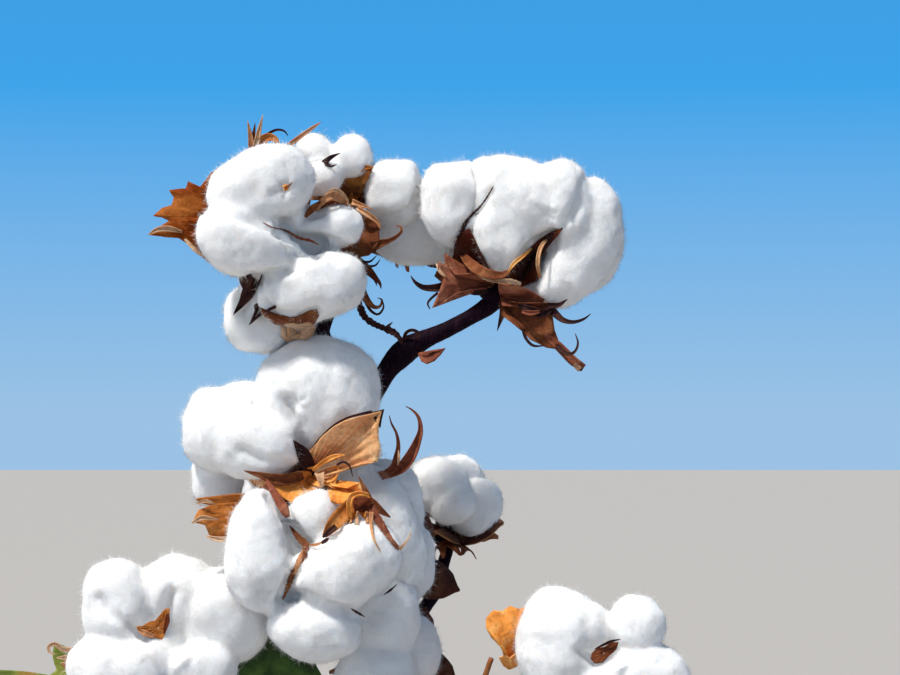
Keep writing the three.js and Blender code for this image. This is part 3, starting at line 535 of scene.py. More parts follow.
# ---------------------------------------------------------------- lint
def lock_rows(name, boll):
    """The locks of a boll as dicts: place, half sizes, long side, wide side, bow and taper."""
    if "grown" not in boll:
        rows = []
        for x, y, z, long, wide, deep, turn, bow, taper in boll["locks"]:
            t = math.radians(turn)
            rows.append(dict(at=np.array([x, y, z], float), half=(long, wide, deep), bow=bow, taper=taper,
                             l=np.array([math.sin(t), 0, math.cos(t)]), w=np.array([math.cos(t), 0, -math.sin(t)])))
        return rows
    a, r, u = boll_frame(boll["axis"])
    base = np.array(boll["base"], float)
    rows = []
    for k in range(boll["valves"]):
        c = lambda i: chance(boll["grown"] * 7.3 + k, i)
        turn = 2 * math.pi * (k + 0.25 * (c(1) - 0.5)) / boll["valves"] + boll["grown"]
        out = r * math.cos(turn) + u * math.sin(turn)
        lean = 0.95 + 0.35 * (c(2) - 0.5)
        at = base + a * (21 + 4 * c(6)) + out * (16 + 3 * c(7)) - np.array([0, 0, 3])
        rows.append(dict(at=at, half=(19 + 4 * c(3), 14 + 3 * c(4), 13 + 2 * c(5)), l=out * math.sin(lean) + a * math.cos(lean),
                         w=np.cross(a, out), bow=0, taper=0.12))
    rows.append(dict(at=base + a * 16, half=(15, 15, 12), l=u, w=r, bow=0, taper=0))
    return rows


def ico(level):
    """Vertices and triangles of a unit icosphere."""
    me = bpy.data.meshes.new("ico")
    import bmesh
    bm = bmesh.new()
    bmesh.ops.create_icosphere(bm, subdivisions=level, radius=1)
    bm.to_mesh(me)
    bm.free()
    v = np.empty(len(me.vertices) * 3)
    me.vertices.foreach_get("co", v)
    f = np.empty(len(me.polygons) * 3, int)
    me.polygons.foreach_get("vertices", f)
    bpy.data.meshes.remove(me)
    return v.reshape(-1, 3), f.reshape(-1, 3)


ICO_V, ICO_F = ico(4)
# pinches in the lint that the photograph shows: place in its frame, depth, size
DIMPLES = {"crown_boll": [((286, 190), 2.6, 2.4), ((274, 196), 1.2, 1.8)], "right_boll": [((548, 216), 1.4, 2.6), ((503, 262), 1.3, 3.0)],
           "front_boll": [((262, 598), 1.0, 3.0)], "shaded_boll": [((295, 404), 1.6, 3.0)]}

# creases between locks: line in the frame, depth, half width
GROOVES = {
    "crown_boll": [([(200, 212), (225, 215), (258, 224), (285, 231), (312, 238), (338, 245)], 3.4, 1.9), ([(283, 231), (300, 239), (318, 247)], 10.0, 3.4), ([(294, 268), (292, 256), (283, 244), (268, 231), (258, 224)], 3.0, 1.9),
                   ([(240, 284), (263, 280), (280, 275), (294, 268)], 3.2, 2.0), ([(296, 256), (313, 248), (335, 247), (354, 251)], 3.4, 2.0), ([(298, 231), (310, 217), (322, 212)], 3.0, 1.9),
                   ([(252, 283), (247, 296), (242, 308)], 5.0, 3.2), ([(262, 306), (275, 316), (300, 319), (318, 312)], 2.6, 2.2)],
    "middle_boll": [([(421, 158), (421, 190), (413, 208), (395, 218), (378, 217)], 2.6, 2.0), ([(488, 194), (480, 207), (462, 229), (458, 250)], 2.6, 2.0)],
    "right_boll": [([(587, 176), (576, 205), (564, 228)], 2.2, 1.8), ([(551, 240), (541, 249), (530, 260), (523, 277)], 6.0, 4.0), ([(490, 192), (481, 207), (464, 229), (463, 250), (468, 270)], 1.8, 1.6),
                   ([(535, 150), (541, 178), (549, 200)], 1.2, 2.4), ([(586, 180), (584, 200), (574, 222)], 2.0, 1.8)],
    "shaded_boll": [([(303, 446), (300, 428), (292, 418), (284, 402)], 3.4, 2.0), ([(240, 452), (262, 462), (290, 466)], 2.0, 2.2)],
    "front_boll": [([(270, 495), (280, 510), (288, 525), (300, 541), (302, 556), (296, 570), (289, 588), (281, 603)], 4.2, 2.1), ([(300, 544), (315, 546), (330, 543), (339, 532)], 3.6, 1.8),
                   ([(282, 601), (302, 596), (332, 611), (359, 617), (381, 601), (396, 587)], 3.6, 2.0)],
    "left_boll": [([(132, 627), (150, 637), (164, 632), (168, 612), (172, 594)], 4.0, 2.4), ([(100, 600), (112, 618), (132, 627)], 2.0, 2.2)],
    "far_right_boll": [([(580, 652), (595, 661), (612, 655)], 2.6, 2.0)],
}


def S(px, py, y=0.0):
    """The point at depth y that the camera sees at a place of the 900 x 675 frame."""
    k = 0.4 * (1 + y / 1000)
    return [40 + (px - 450) * k, y, 712 + (337.5 - py) * k]



def lint_piece(name, boll, voxel):
    """One boll's lint: its locks joined into one uneven, billowing surface."""
    rows = lock_rows(name, boll)
    seed = sum(map(ord, name))
    verts, faces, count = [], [], 0
    lumps = (4.2, 2.6) if "grown" in boll else (2.6, 1.9)
    rng = np.random.default_rng(seed)
    for k, o in enumerate(rows):
        n = np.cross(o["w"], o["l"])
        long, wide, deep = o["half"]
        e = rng.uniform(2.15, 2.6)
        p = ICO_V * (np.abs(ICO_V) ** e).sum(1, keepdims=True) ** (-1 / e) * 0.985
        width = 1 + o["taper"] * p[:, 1]
        X = p[:, 0] * wide * width + o["bow"] * p[:, 1] ** 2
        Y = p[:, 1] * long
        Z = p[:, 2] * deep * width
        q = o["at"] + X[:, None] * o["w"] + Y[:, None] * o["l"] + Z[:, None] * n
        out = unit(p[:, :1] / wide * o["w"] + p[:, 1:2] / long * o["l"] + p[:, 2:] / deep * n)
        shift = rng.uniform(0, 90, 3)
        small = min(1.0, min(o["half"]) / 13)
        q = q + out * (small * (lumps[0] * noise(q / 21 + shift) + lumps[1] * noise(q / 10 + shift)))[:, None]
        verts.append(q)
        faces.append(ICO_F + count)
        count += len(q)
    v = np.concatenate(verts) * 0.001
    f = np.concatenate(faces)
    me = bpy.data.meshes.new(name + "_shape")
    me.from_pydata(v.tolist(), [], f.tolist())
    ob = bpy.data.objects.new(name + "_shape", me)
    scene.collection.objects.link(ob)
    mod = ob.modifiers.new("join", "REMESH")
    mod.mode = "VOXEL"
    mod.voxel_size = voxel * 0.001
    mod.adaptivity = 0
    sm = ob.modifiers.new("soften", "SMOOTH")
    sm.factor = 0.5
    sm.iterations = 4
    dg = bpy.context.evaluated_depsgraph_get()
    shape = bpy.data.meshes.new_from_object(ob.evaluated_get(dg))
    bpy.data.objects.remove(ob)
    bpy.data.meshes.remove(me)
    n = len(shape.vertices)
    v = np.empty(n * 3, np.float32)
    shape.vertices.foreach_get("co", v)
    nr = np.empty(n * 3, np.float32)
    shape.vertices.foreach_get("normal", nr)
    v, nr = v.reshape(-1, 3) * 1000.0, nr.reshape(-1, 3)
    warp = np.stack([noise(v / 6 + s) for s in (3.1, 17.7, 41.3)], -1) * 3.0
    w = v + warp
    d = (0.5 if name == "left_boll" else 0.85) * noise(w / 8.8) + (0.28 if name == "left_boll" else 0.50) * noise(w / 3.8 + 9) + 0.36 * noise(w / 1.9 + 4)
    for (px, py), depth, size in DIMPLES.get(name, []):
        # a pinch in the lint, with short folds that run out from it
        at = S(px, py, boll["locks"][0][1] - 12)
        dx, dz = v[:, 0] - at[0], v[:, 2] - at[2]
        far = np.hypot(dx, dz)
        fold = np.cos(6 * np.arctan2(dz, dx) + 1.1 * np.sin(far / 1.9))
        d -= (nr[:, 1] < 0) * (depth * np.exp(-(far / size) ** 2) - 0.34 * depth * fold * np.exp(-((far - size) / (0.9 * size)) ** 2))
    k = 0.4 * (1 + v[:, 1] / 1000)
    flat = np.stack([450 + (v[:, 0] - 40) / k, 337.5 - (v[:, 2] - 712) / k], -1)
    sunk = np.zeros(n)
    for line, depth, wide in GROOVES.get(name, []):
        # the crease between two locks, along a line of the photograph's frame
        line = np.array(line, float)
        near_by = np.full(n, 1e9)
        for a, b in zip(line, line[1:]):
            ab = b - a
            t = np.clip((flat - a) @ ab / (ab @ ab), 0, 1)
            near_by = np.minimum(near_by, np.linalg.norm(flat - a - t[:, None] * ab, axis=1))
        wave = 1 + 0.35 * noise(v / 5.0 + 70)
        sunk = np.maximum(sunk, depth * np.exp(-(near_by * 0.4 / (wide * wave)) ** 2))
    d -= sunk * np.clip(0.35 - nr[:, 1], 0, 1)
    v = v + nr * d[:, None]
    shape.vertices.foreach_set("co", (v * 0.001).astype(np.float32).ravel())
    shape.polygons.foreach_set("use_smooth", np.full(len(shape.polygons), True))
    shape.materials.clear()
    shape.materials.append(LINT)
    shape.update()
    shape.name = name + "_lint"
    ob = bpy.data.objects.new(name + "_lint", shape)
    scene.collection.objects.link(ob)
    finish_piece(ob, [name + "_cotton"])
    return ob


def arrays(ob):
    """Corner indices, points in millimetres and normals of a mesh."""
    me = ob.data
    me.calc_loop_triangles()
    idx = np.empty(len(me.loop_triangles) * 3, np.int32)
    me.loop_triangles.foreach_get("vertices", idx)
    v = np.empty(len(me.vertices) * 3, np.float32)
    me.vertices.foreach_get("co", v)
    nr = np.empty(len(me.vertices) * 3, np.float32)
    me.vertices.foreach_get("normal", nr)
    return idx.reshape(-1, 3), v.reshape(-1, 3) * 1000.0, nr.reshape(-1, 3)


def surface_samples(ob, density, seed, weight=None):
    """Points on a mesh with their normals, spread by area and an extra weight."""
    idx, v, nr = arrays(ob)
    a, b, c = v[idx[:, 0]], v[idx[:, 1]], v[idx[:, 2]]
    area = np.linalg.norm(np.cross(b - a, c - a), axis=1) / 2
    if weight is not None:
        area = area * weight((a + b + c) / 3, nr[idx[:, 0]])
    count = int(area.sum() * density)
    rng = np.random.default_rng(seed)
    pick = np.minimum(np.searchsorted(np.cumsum(area) / area.sum(), rng.random(count)), len(idx) - 1)
    r1, r2 = np.sqrt(rng.random(count))[:, None], rng.random(count)[:, None]
    p = (1 - r1) * a[pick] + r1 * (1 - r2) * b[pick] + r1 * r2 * c[pick]
    n = unit((1 - r1) * nr[idx[pick, 0]] + r1 * (1 - r2) * nr[idx[pick, 1]] + r1 * r2 * nr[idx[pick, 2]])
    return p, n, rng


def add_spikes(heap, p, n, d, rng, length, width, levels=1, curl=0.5, mat=0, normals=None):
    """Fine three-sided fibres that leave p along d and taper to a point."""
    k = len(p)
    side = unit(np.cross(d, rng.normal(size=(k, 3))))
    turn = unit(rng.normal(size=(k, 3)))
    at = p - n * 0.3
    step = (length / levels)[:, None]
    rows = []
    for j in range(levels):
        w = (width * (1 - 0.55 * j / levels) * 0.58)[:, None]
        other = np.cross(d, side)
        for t in (0.0, 2.0944, 4.1888):
            rows.append(at + (side * math.cos(t) + other * math.sin(t)) * w)
        at = at + d * step
        d = unit(d + (turn * curl + rng.normal(size=(k, 3)) * 0.2 - n * 0.1) * 0.8)
        side = unit(side - d * (side * d).sum(1, keepdims=True))
    rows.append(at)
    P = np.stack(rows, 1)
    m = P.shape[1]
    first = np.arange(k)[:, None] * m
    quads = [first + 3 * j + np.array([i, (i + 1) % 3, 3 + (i + 1) % 3, 3 + i]) for j in range(levels - 1) for i in range(3)]
    tips = [first + np.array([m - 4 + i, m - 4 + (i + 1) % 3, m - 1]) for i in range(3)]
    N = None
    if normals is not None:
        N = np.repeat(normals, m, 0)
    heap.add(P.reshape(-1, 3), np.concatenate(quads) if quads else None, np.concatenate(tips), mat, normals=N)


def seen(at, normal):
    """More fibres where the lint faces the front, fewer where it is buried."""
    return np.where(normal[:, 1] > 0.45, 0.45, 1.0)


lint_objects = {}
groups = {"upper": ["crown_boll", "upper_back_boll", "middle_boll"], "right": ["right_boll", "rear_boll"],
          "centre": ["shaded_boll", "front_boll"], "low": ["side_boll", "lower_side_boll", "left_boll", "far_right_boll"]}
near = set(sum(groups.values(), []))
groups["rest"] = [b for b in BOLLS if b not in near]
for name, boll in BOLLS.items():
    voxel = 1.22 if name in near else 1.9
    lint_objects[name] = lint_piece(name, boll, voxel)

for gname, members in groups.items():
    heap = Heap()
    for name in members:
        ob = lint_objects[name]
        seed = sum(map(ord, name))
        close = name in near
        share = 1.0
        # short fuzz
        p, n, rng = surface_samples(ob, ((0.98 if gname == "low" else 1.12) if close else 0.14) * share, 500 + seed, seen if close else None)
        k = len(p)
        d = unit(n * rng.uniform(0.4, 2.0, (k, 1)) + unit(np.cross(n, rng.normal(size=(k, 3)))))
        add_spikes(heap, p, n, d, rng, rng.uniform(0.8, 2.3, k) * (1 + 0.8 * (rng.random(k) < 0.25)) * (1 if close else 1.4), rng.uniform(0.085, 0.145, k) * (1 if close else 1.9), normals=n)
        # tufts of longer fibres that leave together
        p, n, rng = surface_samples(ob, (0.0030 if close else 0.0012) * share, 900 + seed, seen if close else None)
        per = 12
        t = unit(np.cross(n, rng.normal(size=(len(p), 3))))
        d0 = unit(n * rng.uniform(0.1, 0.9, (len(p), 1)) + t)
        d = unit(np.repeat(d0, per, 0) + rng.normal(size=(len(p) * per, 3)) * 0.28)
        n2 = np.repeat(n, per, 0)
        j = rng.normal(size=(len(p) * per, 3)) * 1.1
        q = np.repeat(p, per, 0) + j - n2 * (j * n2).sum(1, keepdims=True) - n2 * 0.2
        k = len(q)
        add_spikes(heap, q, n2, d, rng, rng.uniform(2.2, 6.0, k), rng.uniform(0.055, 0.09, k), 3, 1.0, normals=n2)
    heap.make(f"lint_fibres_{gname}", [FIBRE], "lint")


# ---------------------------------------------------------------- stem and branches
def bark_relief(seed, depth, nodes=()):
    def rule(ang, R, P):
        flat = P.reshape(-1, 3)
        a, r = ang.ravel(), R.ravel()
        q = np.stack([np.cos(a) * r / 1.6, np.sin(a) * r / 1.6, flat[:, 2] / 14 + seed], -1)
        d = depth * (0.9 * noise(q) + 0.5 * noise(q * [2.3, 2.3, 2.0] + 5))
        d += depth * 0.45 * noise(flat / 1.7 + seed)
        for at, size, high in nodes:
            s = np.linalg.norm(flat - np.array(at), axis=1)
            d += high * np.exp(-(s / size) ** 2)
        return d.reshape(R.shape)
    return rule


stem = Heap()
stem_rows = np.array(STEM, float)
zs = np.concatenate([np.linspace(0, 30, 14), np.arange(32, 738, 2.2), [738]])
centre = np.stack([np.interp(zs, stem_rows[:, 2], stem_rows[:, 0]), np.interp(zs, stem_rows[:, 2], stem_rows[:, 1]), zs], -1)
kernel = np.exp(-np.linspace(-2, 2, 15) ** 2)
kernel /= kernel.sum()
for i in (0, 1):
    centre[:, i] = np.convolve(np.pad(centre[:, i], 7, mode="edge"), kernel, "valid")
centre[0, :2] = 0
radius = np.interp(zs, stem_rows[:, 2], stem_rows[:, 3])
# where branches and old leaves left the stem
stem_nodes = []
for (rr, line) in BRANCHES.values():
    stem_nodes.append((line[0], 7.5, 1.5))
scar_z = [62, 96, 128, 157, 186, 212]
for k, z in enumerate(scar_z):
    a = k * 2.4
    c = [np.interp(z, zs, centre[:, 0]) + 6 * math.cos(a), np.interp(z, zs, centre[:, 1]) + 6 * math.sin(a), z]
    stem_nodes.append((c, 3.6, 1.6))
for k, z in enumerate([245, 288, 334, 372, 410, 446, 480, 540, 600, 655]):
    a = k * 2.4 + 1
    c = [np.interp(z, zs, centre[:, 0]) + 5 * math.cos(a), np.interp(z, zs, centre[:, 1]) + 5 * math.sin(a), z]
    stem_nodes.append((c, 3.0, 1.2))


def stem_relief(ang, R, P):
    d = bark_relief(3.0, 0.42, stem_nodes)(ang, R, P)
    z = P[..., 2]
    flare = np.exp(-z / 11.0)
    return d + flare * (1.3 * np.cos(3 * ang + 0.4) + 0.7 * np.cos(7 * ang)) * (R / 10)


add_tube(stem, centre, radius, 26, stem_relief)
# the lowest ring lies flat on the ground
first = stem.v[0]
first[:26, 2] = 0.0
first[-2, 2] = 0.0
stem_object = stem.make("main_stem_bark", [STEM_BARK], "stem_bark", ["main_stem"])

branch_objects = {}
for name, (rr, line) in BRANCHES.items():
    heap = Heap()
    length = sum(np.linalg.norm(np.subtract(b, a)) for a, b in zip(line, line[1:]))
    count = int(length / 1.1)
    c = curve_points(line, count)
    t = np.linspace(0, 1, count)
    rad = rr[0] + (rr[1] - rr[0]) * t
    rad = rad + 1.6 * np.exp(-(t * length / 5.0) ** 2)
    nodes = []
    if name == "right_upper_branch":
        nodes = [((24, 6, 703), 7.5, 2.6), ((22, 2, 711), 2.4, 1.1), ((57, 4, 724), 6.0, 1.1), ((10.5, 12, 692.5), 5.0, 0.3), ((31, 6, 705), 3.5, 0.7)]
    else:
        nodes = [(line[-2], 4.5, 0.9), (line[1], 4.5, 0.9)]
    add_tube(heap, c, rad, 18, bark_relief(sum(map(ord, name)) * 0.37, 0.34, nodes))
    branch_objects[name] = heap.make(name + "_bark", [BRANCH_BARK], "branch_bark", [name])


# ---------------------------------------------------------------- burrs: bracts, valves, stalks
def smooth_row(w, rows, at, pts):
    """Half widths given at the control points, spread along the rows without corners."""
    v = np.interp(at, pts, w)
    for _ in range(max(2, rows // 7)):
        v[1:-1] = (v[:-2] + 2 * v[1:-1] + v[2:]) / 4
    return v


lint_tree = None


def drape(P, clear, start):
    """Move the points of a grid towards the front until the lint no longer hides them,
    from a share start of its rows on."""
    global lint_tree
    if lint_tree is None:
        vs, fs, n = [], [], 0
        for b in near:
            idx, v, _ = arrays(lint_objects[b])
            vs.append(v)
            fs.append(idx + n)
            n += len(v)
        lint_tree = BVHTree.FromPolygons(np.concatenate(vs).tolist(), np.concatenate(fs).tolist())
    eye = np.array(CAM_AT) * 1000
    rows, cols = P.shape[:2]
    need = np.zeros((rows, cols))
    rays = unit(P - eye)
    for i in range(rows):
        for j in range(cols):
            far = float(np.linalg.norm(P[i, j] - eye))
            hit = lint_tree.ray_cast(Vector(eye + rays[i, j] * 700), Vector(rays[i, j]), far - 700 + clear)
            if hit[3] is not None:
                need[i, j] = far - 700 + clear - hit[3]
    grown = need.copy()
    for di in (-1, 0, 1):
        for dj in (-1, 0, 1):
            grown[1:-1, 1:-1] = np.maximum(grown[1:-1, 1:-1], need[1 + di:rows - 1 + di, 1 + dj:cols - 1 + dj])
    pad = np.pad(grown, 1, mode="edge")
    soft = sum(pad[1 + di:rows + 1 + di, 1 + dj:cols + 1 + dj] for di in (-1, 0, 1) for dj in (-1, 0, 1)) / 9
    soft = np.maximum(soft, need)
    share = np.clip((np.linspace(0, 1, rows) - start) / 0.12, 0, 1) if start > 0 else np.ones(rows)
    return P - rays * (soft * share[:, None])[..., None]


def blade(heap, mid, half, face=(0, -1, 0), roll=0.6, crinkle=0.25, cols=6, seed=0, thick=0.34, teeth=0.0, over=None, clear=0.5):
    """A narrow blade, tooth or hook along mid, with half its width at each point of mid.
    roll bends its section into a gutter that opens towards face."""
    pts = np.array([S(*m) for m in mid], float)
    chord = np.concatenate([[0], np.cumsum(np.linalg.norm(np.diff(pts, axis=0), axis=1))])
    rows = int(np.clip(chord[-1] / 0.9, 7, 60))
    c = curve_points(pts, rows)
    at = np.linspace(0, chord[-1], rows)
    w = smooth_row(np.asarray(half, float), rows, at, chord)
    T = unit(np.gradient(c, axis=0))
    F = np.asarray(face, float)[None] - T * (T @ np.asarray(face, float))[:, None]
    weak = np.linalg.norm(F, axis=1) < 0.25
    if weak.any():
        alt = np.array([0.2, -0.3, 1.0])
        F[weak] = alt - T[weak] * (T[weak] @ alt)[:, None]
    F = unit(F)
    Sd = np.cross(T, F)
    u = np.linspace(-1, 1, cols)
    r = max(roll, 1e-3)
    x = np.sin(r * u) / r
    f = (1 - np.cos(r * u)) / r
    W = w[:, None] * np.ones(cols)
    if teeth:
        saw = (at / 2.1 + seed) % 1.0
        W = W * (1 + teeth * (saw[:, None] - 0.5) * np.abs(u) ** 3)
    P = c[:, None] + Sd[:, None] * (W * x)[..., None] + F[:, None] * (W * f)[..., None]
    q = P.reshape(-1, 3)
    amp = np.minimum(1, w / 1.2)
    P = P + F[:, None] * (crinkle * noise(q / 2.6 + seed * 3.7).reshape(rows, cols) * amp[:, None])[..., None]
    if over is not None:
        P = drape(P, clear, over)
    add_sheet(heap, P, np.minimum(thick, 0.12 + w * 0.3)[:, None])


def patch(heap, foot, outline, bulge=1.5, crinkle=0.9, lip=0.0, seed=0, rows=13, per=4, ribs=0.14, thick=0.34, over=None, clear=0.5):
    """A broad dry blade that spreads from its foot to a toothed outline. bulge lifts its
    middle towards the front and lip turns its edge."""
    f = np.array(S(*foot), float)
    o = np.array([S(*q) for q in outline], float)
    cols = (len(o) - 1) * per + 1
    t = np.linspace(0, len(o) - 1, cols)
    O = np.stack([np.interp(t, np.arange(len(o)), o[:, i]) for i in range(3)], -1)
    rho = np.linspace(0.04, 1, rows) ** 0.85
    P = f + (O - f)[None] * rho[:, None, None]
    flat = np.concatenate([O, f[None]]) - np.mean(O, 0)
    n = np.linalg.svd(flat, full_matrices=False)[2][2]
    if n[1] > 0:
        n = -n
    lift = bulge * np.sin(np.pi * rho * 0.8)[:, None] + ribs * np.cos(2 * np.pi * t)[None] * np.sin(np.pi * rho ** 1.2)[:, None]
    lift = lift + lip * np.clip((rho[:, None] - 0.72) / 0.28, 0, 1) ** 2
    P = P + n * lift[..., None]
    q = P.reshape(-1, 3)
    cr = (crinkle * (1.3 * noise(q / 8.5 + seed * 1.7) + 0.6 * noise(q / 3.4 + seed) + 0.3 * noise(q / 1.6 + seed))).reshape(rows, cols)
    P = P + n * (cr * np.clip(rho * 2, 0, 1)[:, None])[..., None]
    if over is not None:
        P = drape(P, clear, over)
    add_sheet(heap, P, thick)


def fan(foot, along, side, L, spread, teeth, body, curl, tooth_curl, seed, detail=1.0):
    """Grid of one toothed bract: a fan from its foot, pleated, crinkled and curled."""
    rng = np.random.default_rng(seed)
    per = max(4, int(7 * detail))
    cols = teeth * per + 1
    rows = max(9, int(19 * detail))
    th = np.linspace(-spread, spread, cols)
    x = (th + spread) / (2 * spread) * teeth
    k = np.minimum(x.astype(int), teeth - 1)
    frac = np.abs((x - k) - 0.5) * 2
    frac[0] = frac[-1] = 1
    tl = L * (1 - body) * rng.uniform(0.8, 1.5, teeth)
    centre_th = (np.arange(teeth) + 0.5) / teeth * 2 * spread - spread
    tl *= 1 - 0.25 * (centre_th / spread) ** 2
    edge = np.abs(th / spread)
    rb = L * body * (1 - 0.20 * edge ** 2) * (1 - 0.10 * (edge > 0.999)) * 0.93
    tooth = (1 - frac) ** 2.1 * tl[k]
    R = rb + tooth
    rho = np.linspace(0, 1, rows) ** 0.85
    rho[0] = 0.03
    s = rho[:, None] * R[None]
    tc = (tooth_curl * rng.uniform(0.5, 1.9, teeth))[k]
    lat = (rng.uniform(-0.34, 0.34, teeth))[k]
    over = np.clip((s - 0.86 * rb) / np.maximum(tl[k] + 0.14 * rb, 1), 0, 1)
    phi = curl * s / L + tc * over ** 1.5 + 0.25 * (th / spread) ** 2
    theta = th[None] + lat[None] * over ** 2
    ds = np.diff(s, axis=0, prepend=np.zeros((1, cols)))
    flat = np.cumsum(ds * np.cos(phi), 0)
    up = np.cumsum(ds * np.sin(phi), 0)
    up += 0.4 * np.cos(2 * np.pi * x)[None] * np.sin(np.pi * np.clip(rho, 0, 1))[:, None]
    n = np.cross(side, along)
    D = along * np.cos(theta)[..., None] + side * np.sin(theta)[..., None]
    P = foot + D * flat[..., None] + n * up[..., None]
    q = P.reshape(-1, 3)
    crinkle = (2.1 * noise(q / 9.0 + seed) + 0.9 * noise(q / 3.6 + seed * 2.0)).reshape(rows, cols)
    P = P + n * (crinkle * np.clip(rho * 2.2, 0, 1)[:, None])[..., None]
    P = P + side * (0.8 * noise(q / 6.0 + seed * 3.0)).reshape(rows, cols)[..., None] * rho[:, None, None]
    return P


def valve(foot, along, side, L, W, recurve, seed):
    """Grid of one woody valve: a boat with a sharp tip, its rims turned towards the lint."""
    rows, cols = 15, 9
    v = np.linspace(0, 1, rows) ** 0.9
    u = np.linspace(-1, 1, cols)
    half = W / 2 * np.sin(np.pi * np.clip(v * 0.86 + 0.12, 0, 1)) ** 0.8
    half[-3:] *= [0.8, 0.5, 0.08]
    phi = recurve * v ** 1.4
    ds = np.diff(v * L, prepend=0)
    flat, back = np.cumsum(ds * np.cos(phi)), np.cumsum(ds * np.sin(phi))
    n = np.cross(side, along)
    X = half[:, None] * u[None]
    depth = 0.55 * half[:, None] * (u[None] ** 2 - 0.3) - 0.9 * np.exp(-(u[None] / 0.16) ** 2) * np.sin(np.pi * v)[:, None]
    P = foot + along * flat[:, None, None] + side * X[..., None] + n * (depth - back[:, None])[..., None]
    q = P.reshape(-1, 3)
    return P + n * (0.5 * noise(q / 3.0 + seed)).reshape(rows, cols)[..., None]


B = {k: Heap() for k in BRACT}
valves = Heap()
stalks = Heap()
ICO_V3, ICO_F3 = ico(3)
burr_nodes = [b + "_burr" for b in BOLLS]
# generic valves behind the lint of the bolls in view, by angle round the axis
VALVES = {
    "crown_boll": [-125, -75, 30, 140], "middle_boll": [-60, 30, 130, 215], "right_boll": [60, 115], "shaded_boll": [80, 150, 240],
    "front_boll": [-70, 20, 110, 230],
}
for bi, (name, boll) in enumerate(BOLLS.items()):
    a, r, u = boll_frame(boll["axis"])
    size = boll.get("size", 1.0)
    base = np.array(boll["base"], float)
    foot = base - a * 3 * size

    def ray(phi, opening):
        out = r * math.cos(phi) + u * math.sin(phi)
        return out, a * math.cos(opening) + out * math.sin(opening), u * math.cos(phi) - r * math.sin(phi)

    # stalk and receptacle
    line = [*boll["stalk"], foot.tolist()]
    R = 2.4 * (0.75 if size < 1 else 1)
    if len(line) > 1:
        line.append((base - a * 0.5).tolist())
        c = curve_points(line, max(8, int(np.linalg.norm(np.subtract(line[-1], line[0])) / 1.4)))
        add_tube(stalks, c, np.full(len(c), R), 12, bark_relief(bi * 3.1, 0.3, [(foot - a * 3, 4, 1.3)]))
    q = ICO_V3
    ang = np.arctan2(q[:, 1], q[:, 0])
    wide = 7.0 * size * (1 + 0.06 * np.cos(5 * ang))
    P = foot + r * (q[:, :1] * wide[:, None]) + u * (q[:, 1:2] * wide[:, None]) + a * (q[:, 2:] * 4.2 * size)
    P = P + a * 1.5 * size + (P - foot) * (0.06 * noise(P / 2.5))[:, None]
    stalks.add(P, tris=ICO_F3)

    # woody valves behind and between the locks
    if name in VALVES:
        turns = [math.radians(t) for t in VALVES[name]]
    else:
        turns = [2 * math.pi * (k + 0.5) / boll["valves"] + boll.get("grown", 0.4) for k in range(boll["valves"])]
    for k, phi in enumerate(turns):
        opening = 1.36 + 0.22 * (chance(bi, k) - 0.5)
        if name == "right_boll":
            opening = 0.9
        out, along, side = ray(phi, opening)
        P = valve(base, along, side, (30 if boll.get("grown") else 26) * size, 16 * size, 0.25, bi * 5 + k)
        add_sheet(valves, P, 1.1 * size, 1, 0)

    # bracts
    if "grown" in boll:
        rows = []
        for k in range(3):
            c = lambda i: chance(bi + 1, k + i)
            tone = ["orange", "brown", "rose", "brown", "tan"][int(4.99 * c(31))]
            rows.append([120 * k + 57.3 * boll["grown"] + 30 * c(0), 82 + 14 * c(5), 38 + 8 * c(9), 40, 5 + int(2 * c(17)), 0.66, 0.15, 0.9, 0, tone])
    else:
        rows = BRACTS.get(name, [])
    for k, (phi, opening, L, spread, teeth, body, curl, tooth_curl, twist, tone) in enumerate(rows):
        out, along, side = ray(math.radians(phi), math.radians(opening))
        n = np.cross(side, along)
        tw = math.radians(twist)
        side = side * math.cos(tw) + n * math.sin(tw)
        P = fan(foot, along, side, L, math.radians(spread), teeth, body, curl, tooth_curl, bi * 13 + k + 1, 0.85 if name in near else 0.72)
        add_sheet(B[tone], P, 0.35)

# ---- crown boll: the bracts and valve tips that show round its lint
patch(B["russet"], (268, 224, 14), [(216, 168, 8), (209, 173, 6), (204, 180, 4.5), (199, 187, 3.5), (194, 185, 3), (187, 181, 2.5),
      (185, 188, 2), (178, 188.5, 1.5), (168, 190, 0.5), (173, 197, 0.5), (171, 205, 0), (161, 208, -1), (152, 216, -2), (161, 217.5, -1.5),
      (168, 221, -1.5), (158, 227, -2.5), (148, 235, -3.5), (164, 237, -2), (178, 238, -1), (188, 245, 0), (194, 251, 1), (203, 258, 2), (216, 268, 6)],
      3.2, 0.8, -1.4, 3, ribs=0.06)
blade(B["straw"], [(148, 235, -6.5), (157, 230, -6), (169, 229, -4), (182, 232, -2)], [0.3, 1.3, 1.5, 0.5], roll=1.3, seed=1)
blade(B["straw"], [(183, 237, -1), (190, 245, -2), (196, 251, -2), (203, 257, -1)], [0.4, 0.9, 0.9, 0.3], roll=1.2, seed=2)
patch(B["brown"], (326, 238, 12), [(350, 203, 4), (358, 210, 1), (365, 207, 0), (368, 215, 0), (375, 219, -1), (381, 228, -2),
      (382, 240, -3), (378, 249, -3), (371, 256, -2), (357, 258, 0), (344, 262, 4)], 2.4, 0.8, 0.5, 5)
blade(B["brown"], [(372, 247, -3), (381, 243.5, -4), (389, 241, -5), (397, 236.5, -6), (401.6, 231, -6), (400, 226.6, -6), (396, 226, -5)],
      [2.6, 1.9, 1.0, 0.75, 0.55, 0.42, 0.12], roll=1.1, seed=3)
blade(B["tan"], [(352, 202, -3), (362, 205.5, -4), (372, 209.5, -5)], [1.5, 0.9, 0.1], roll=1.2, seed=4)
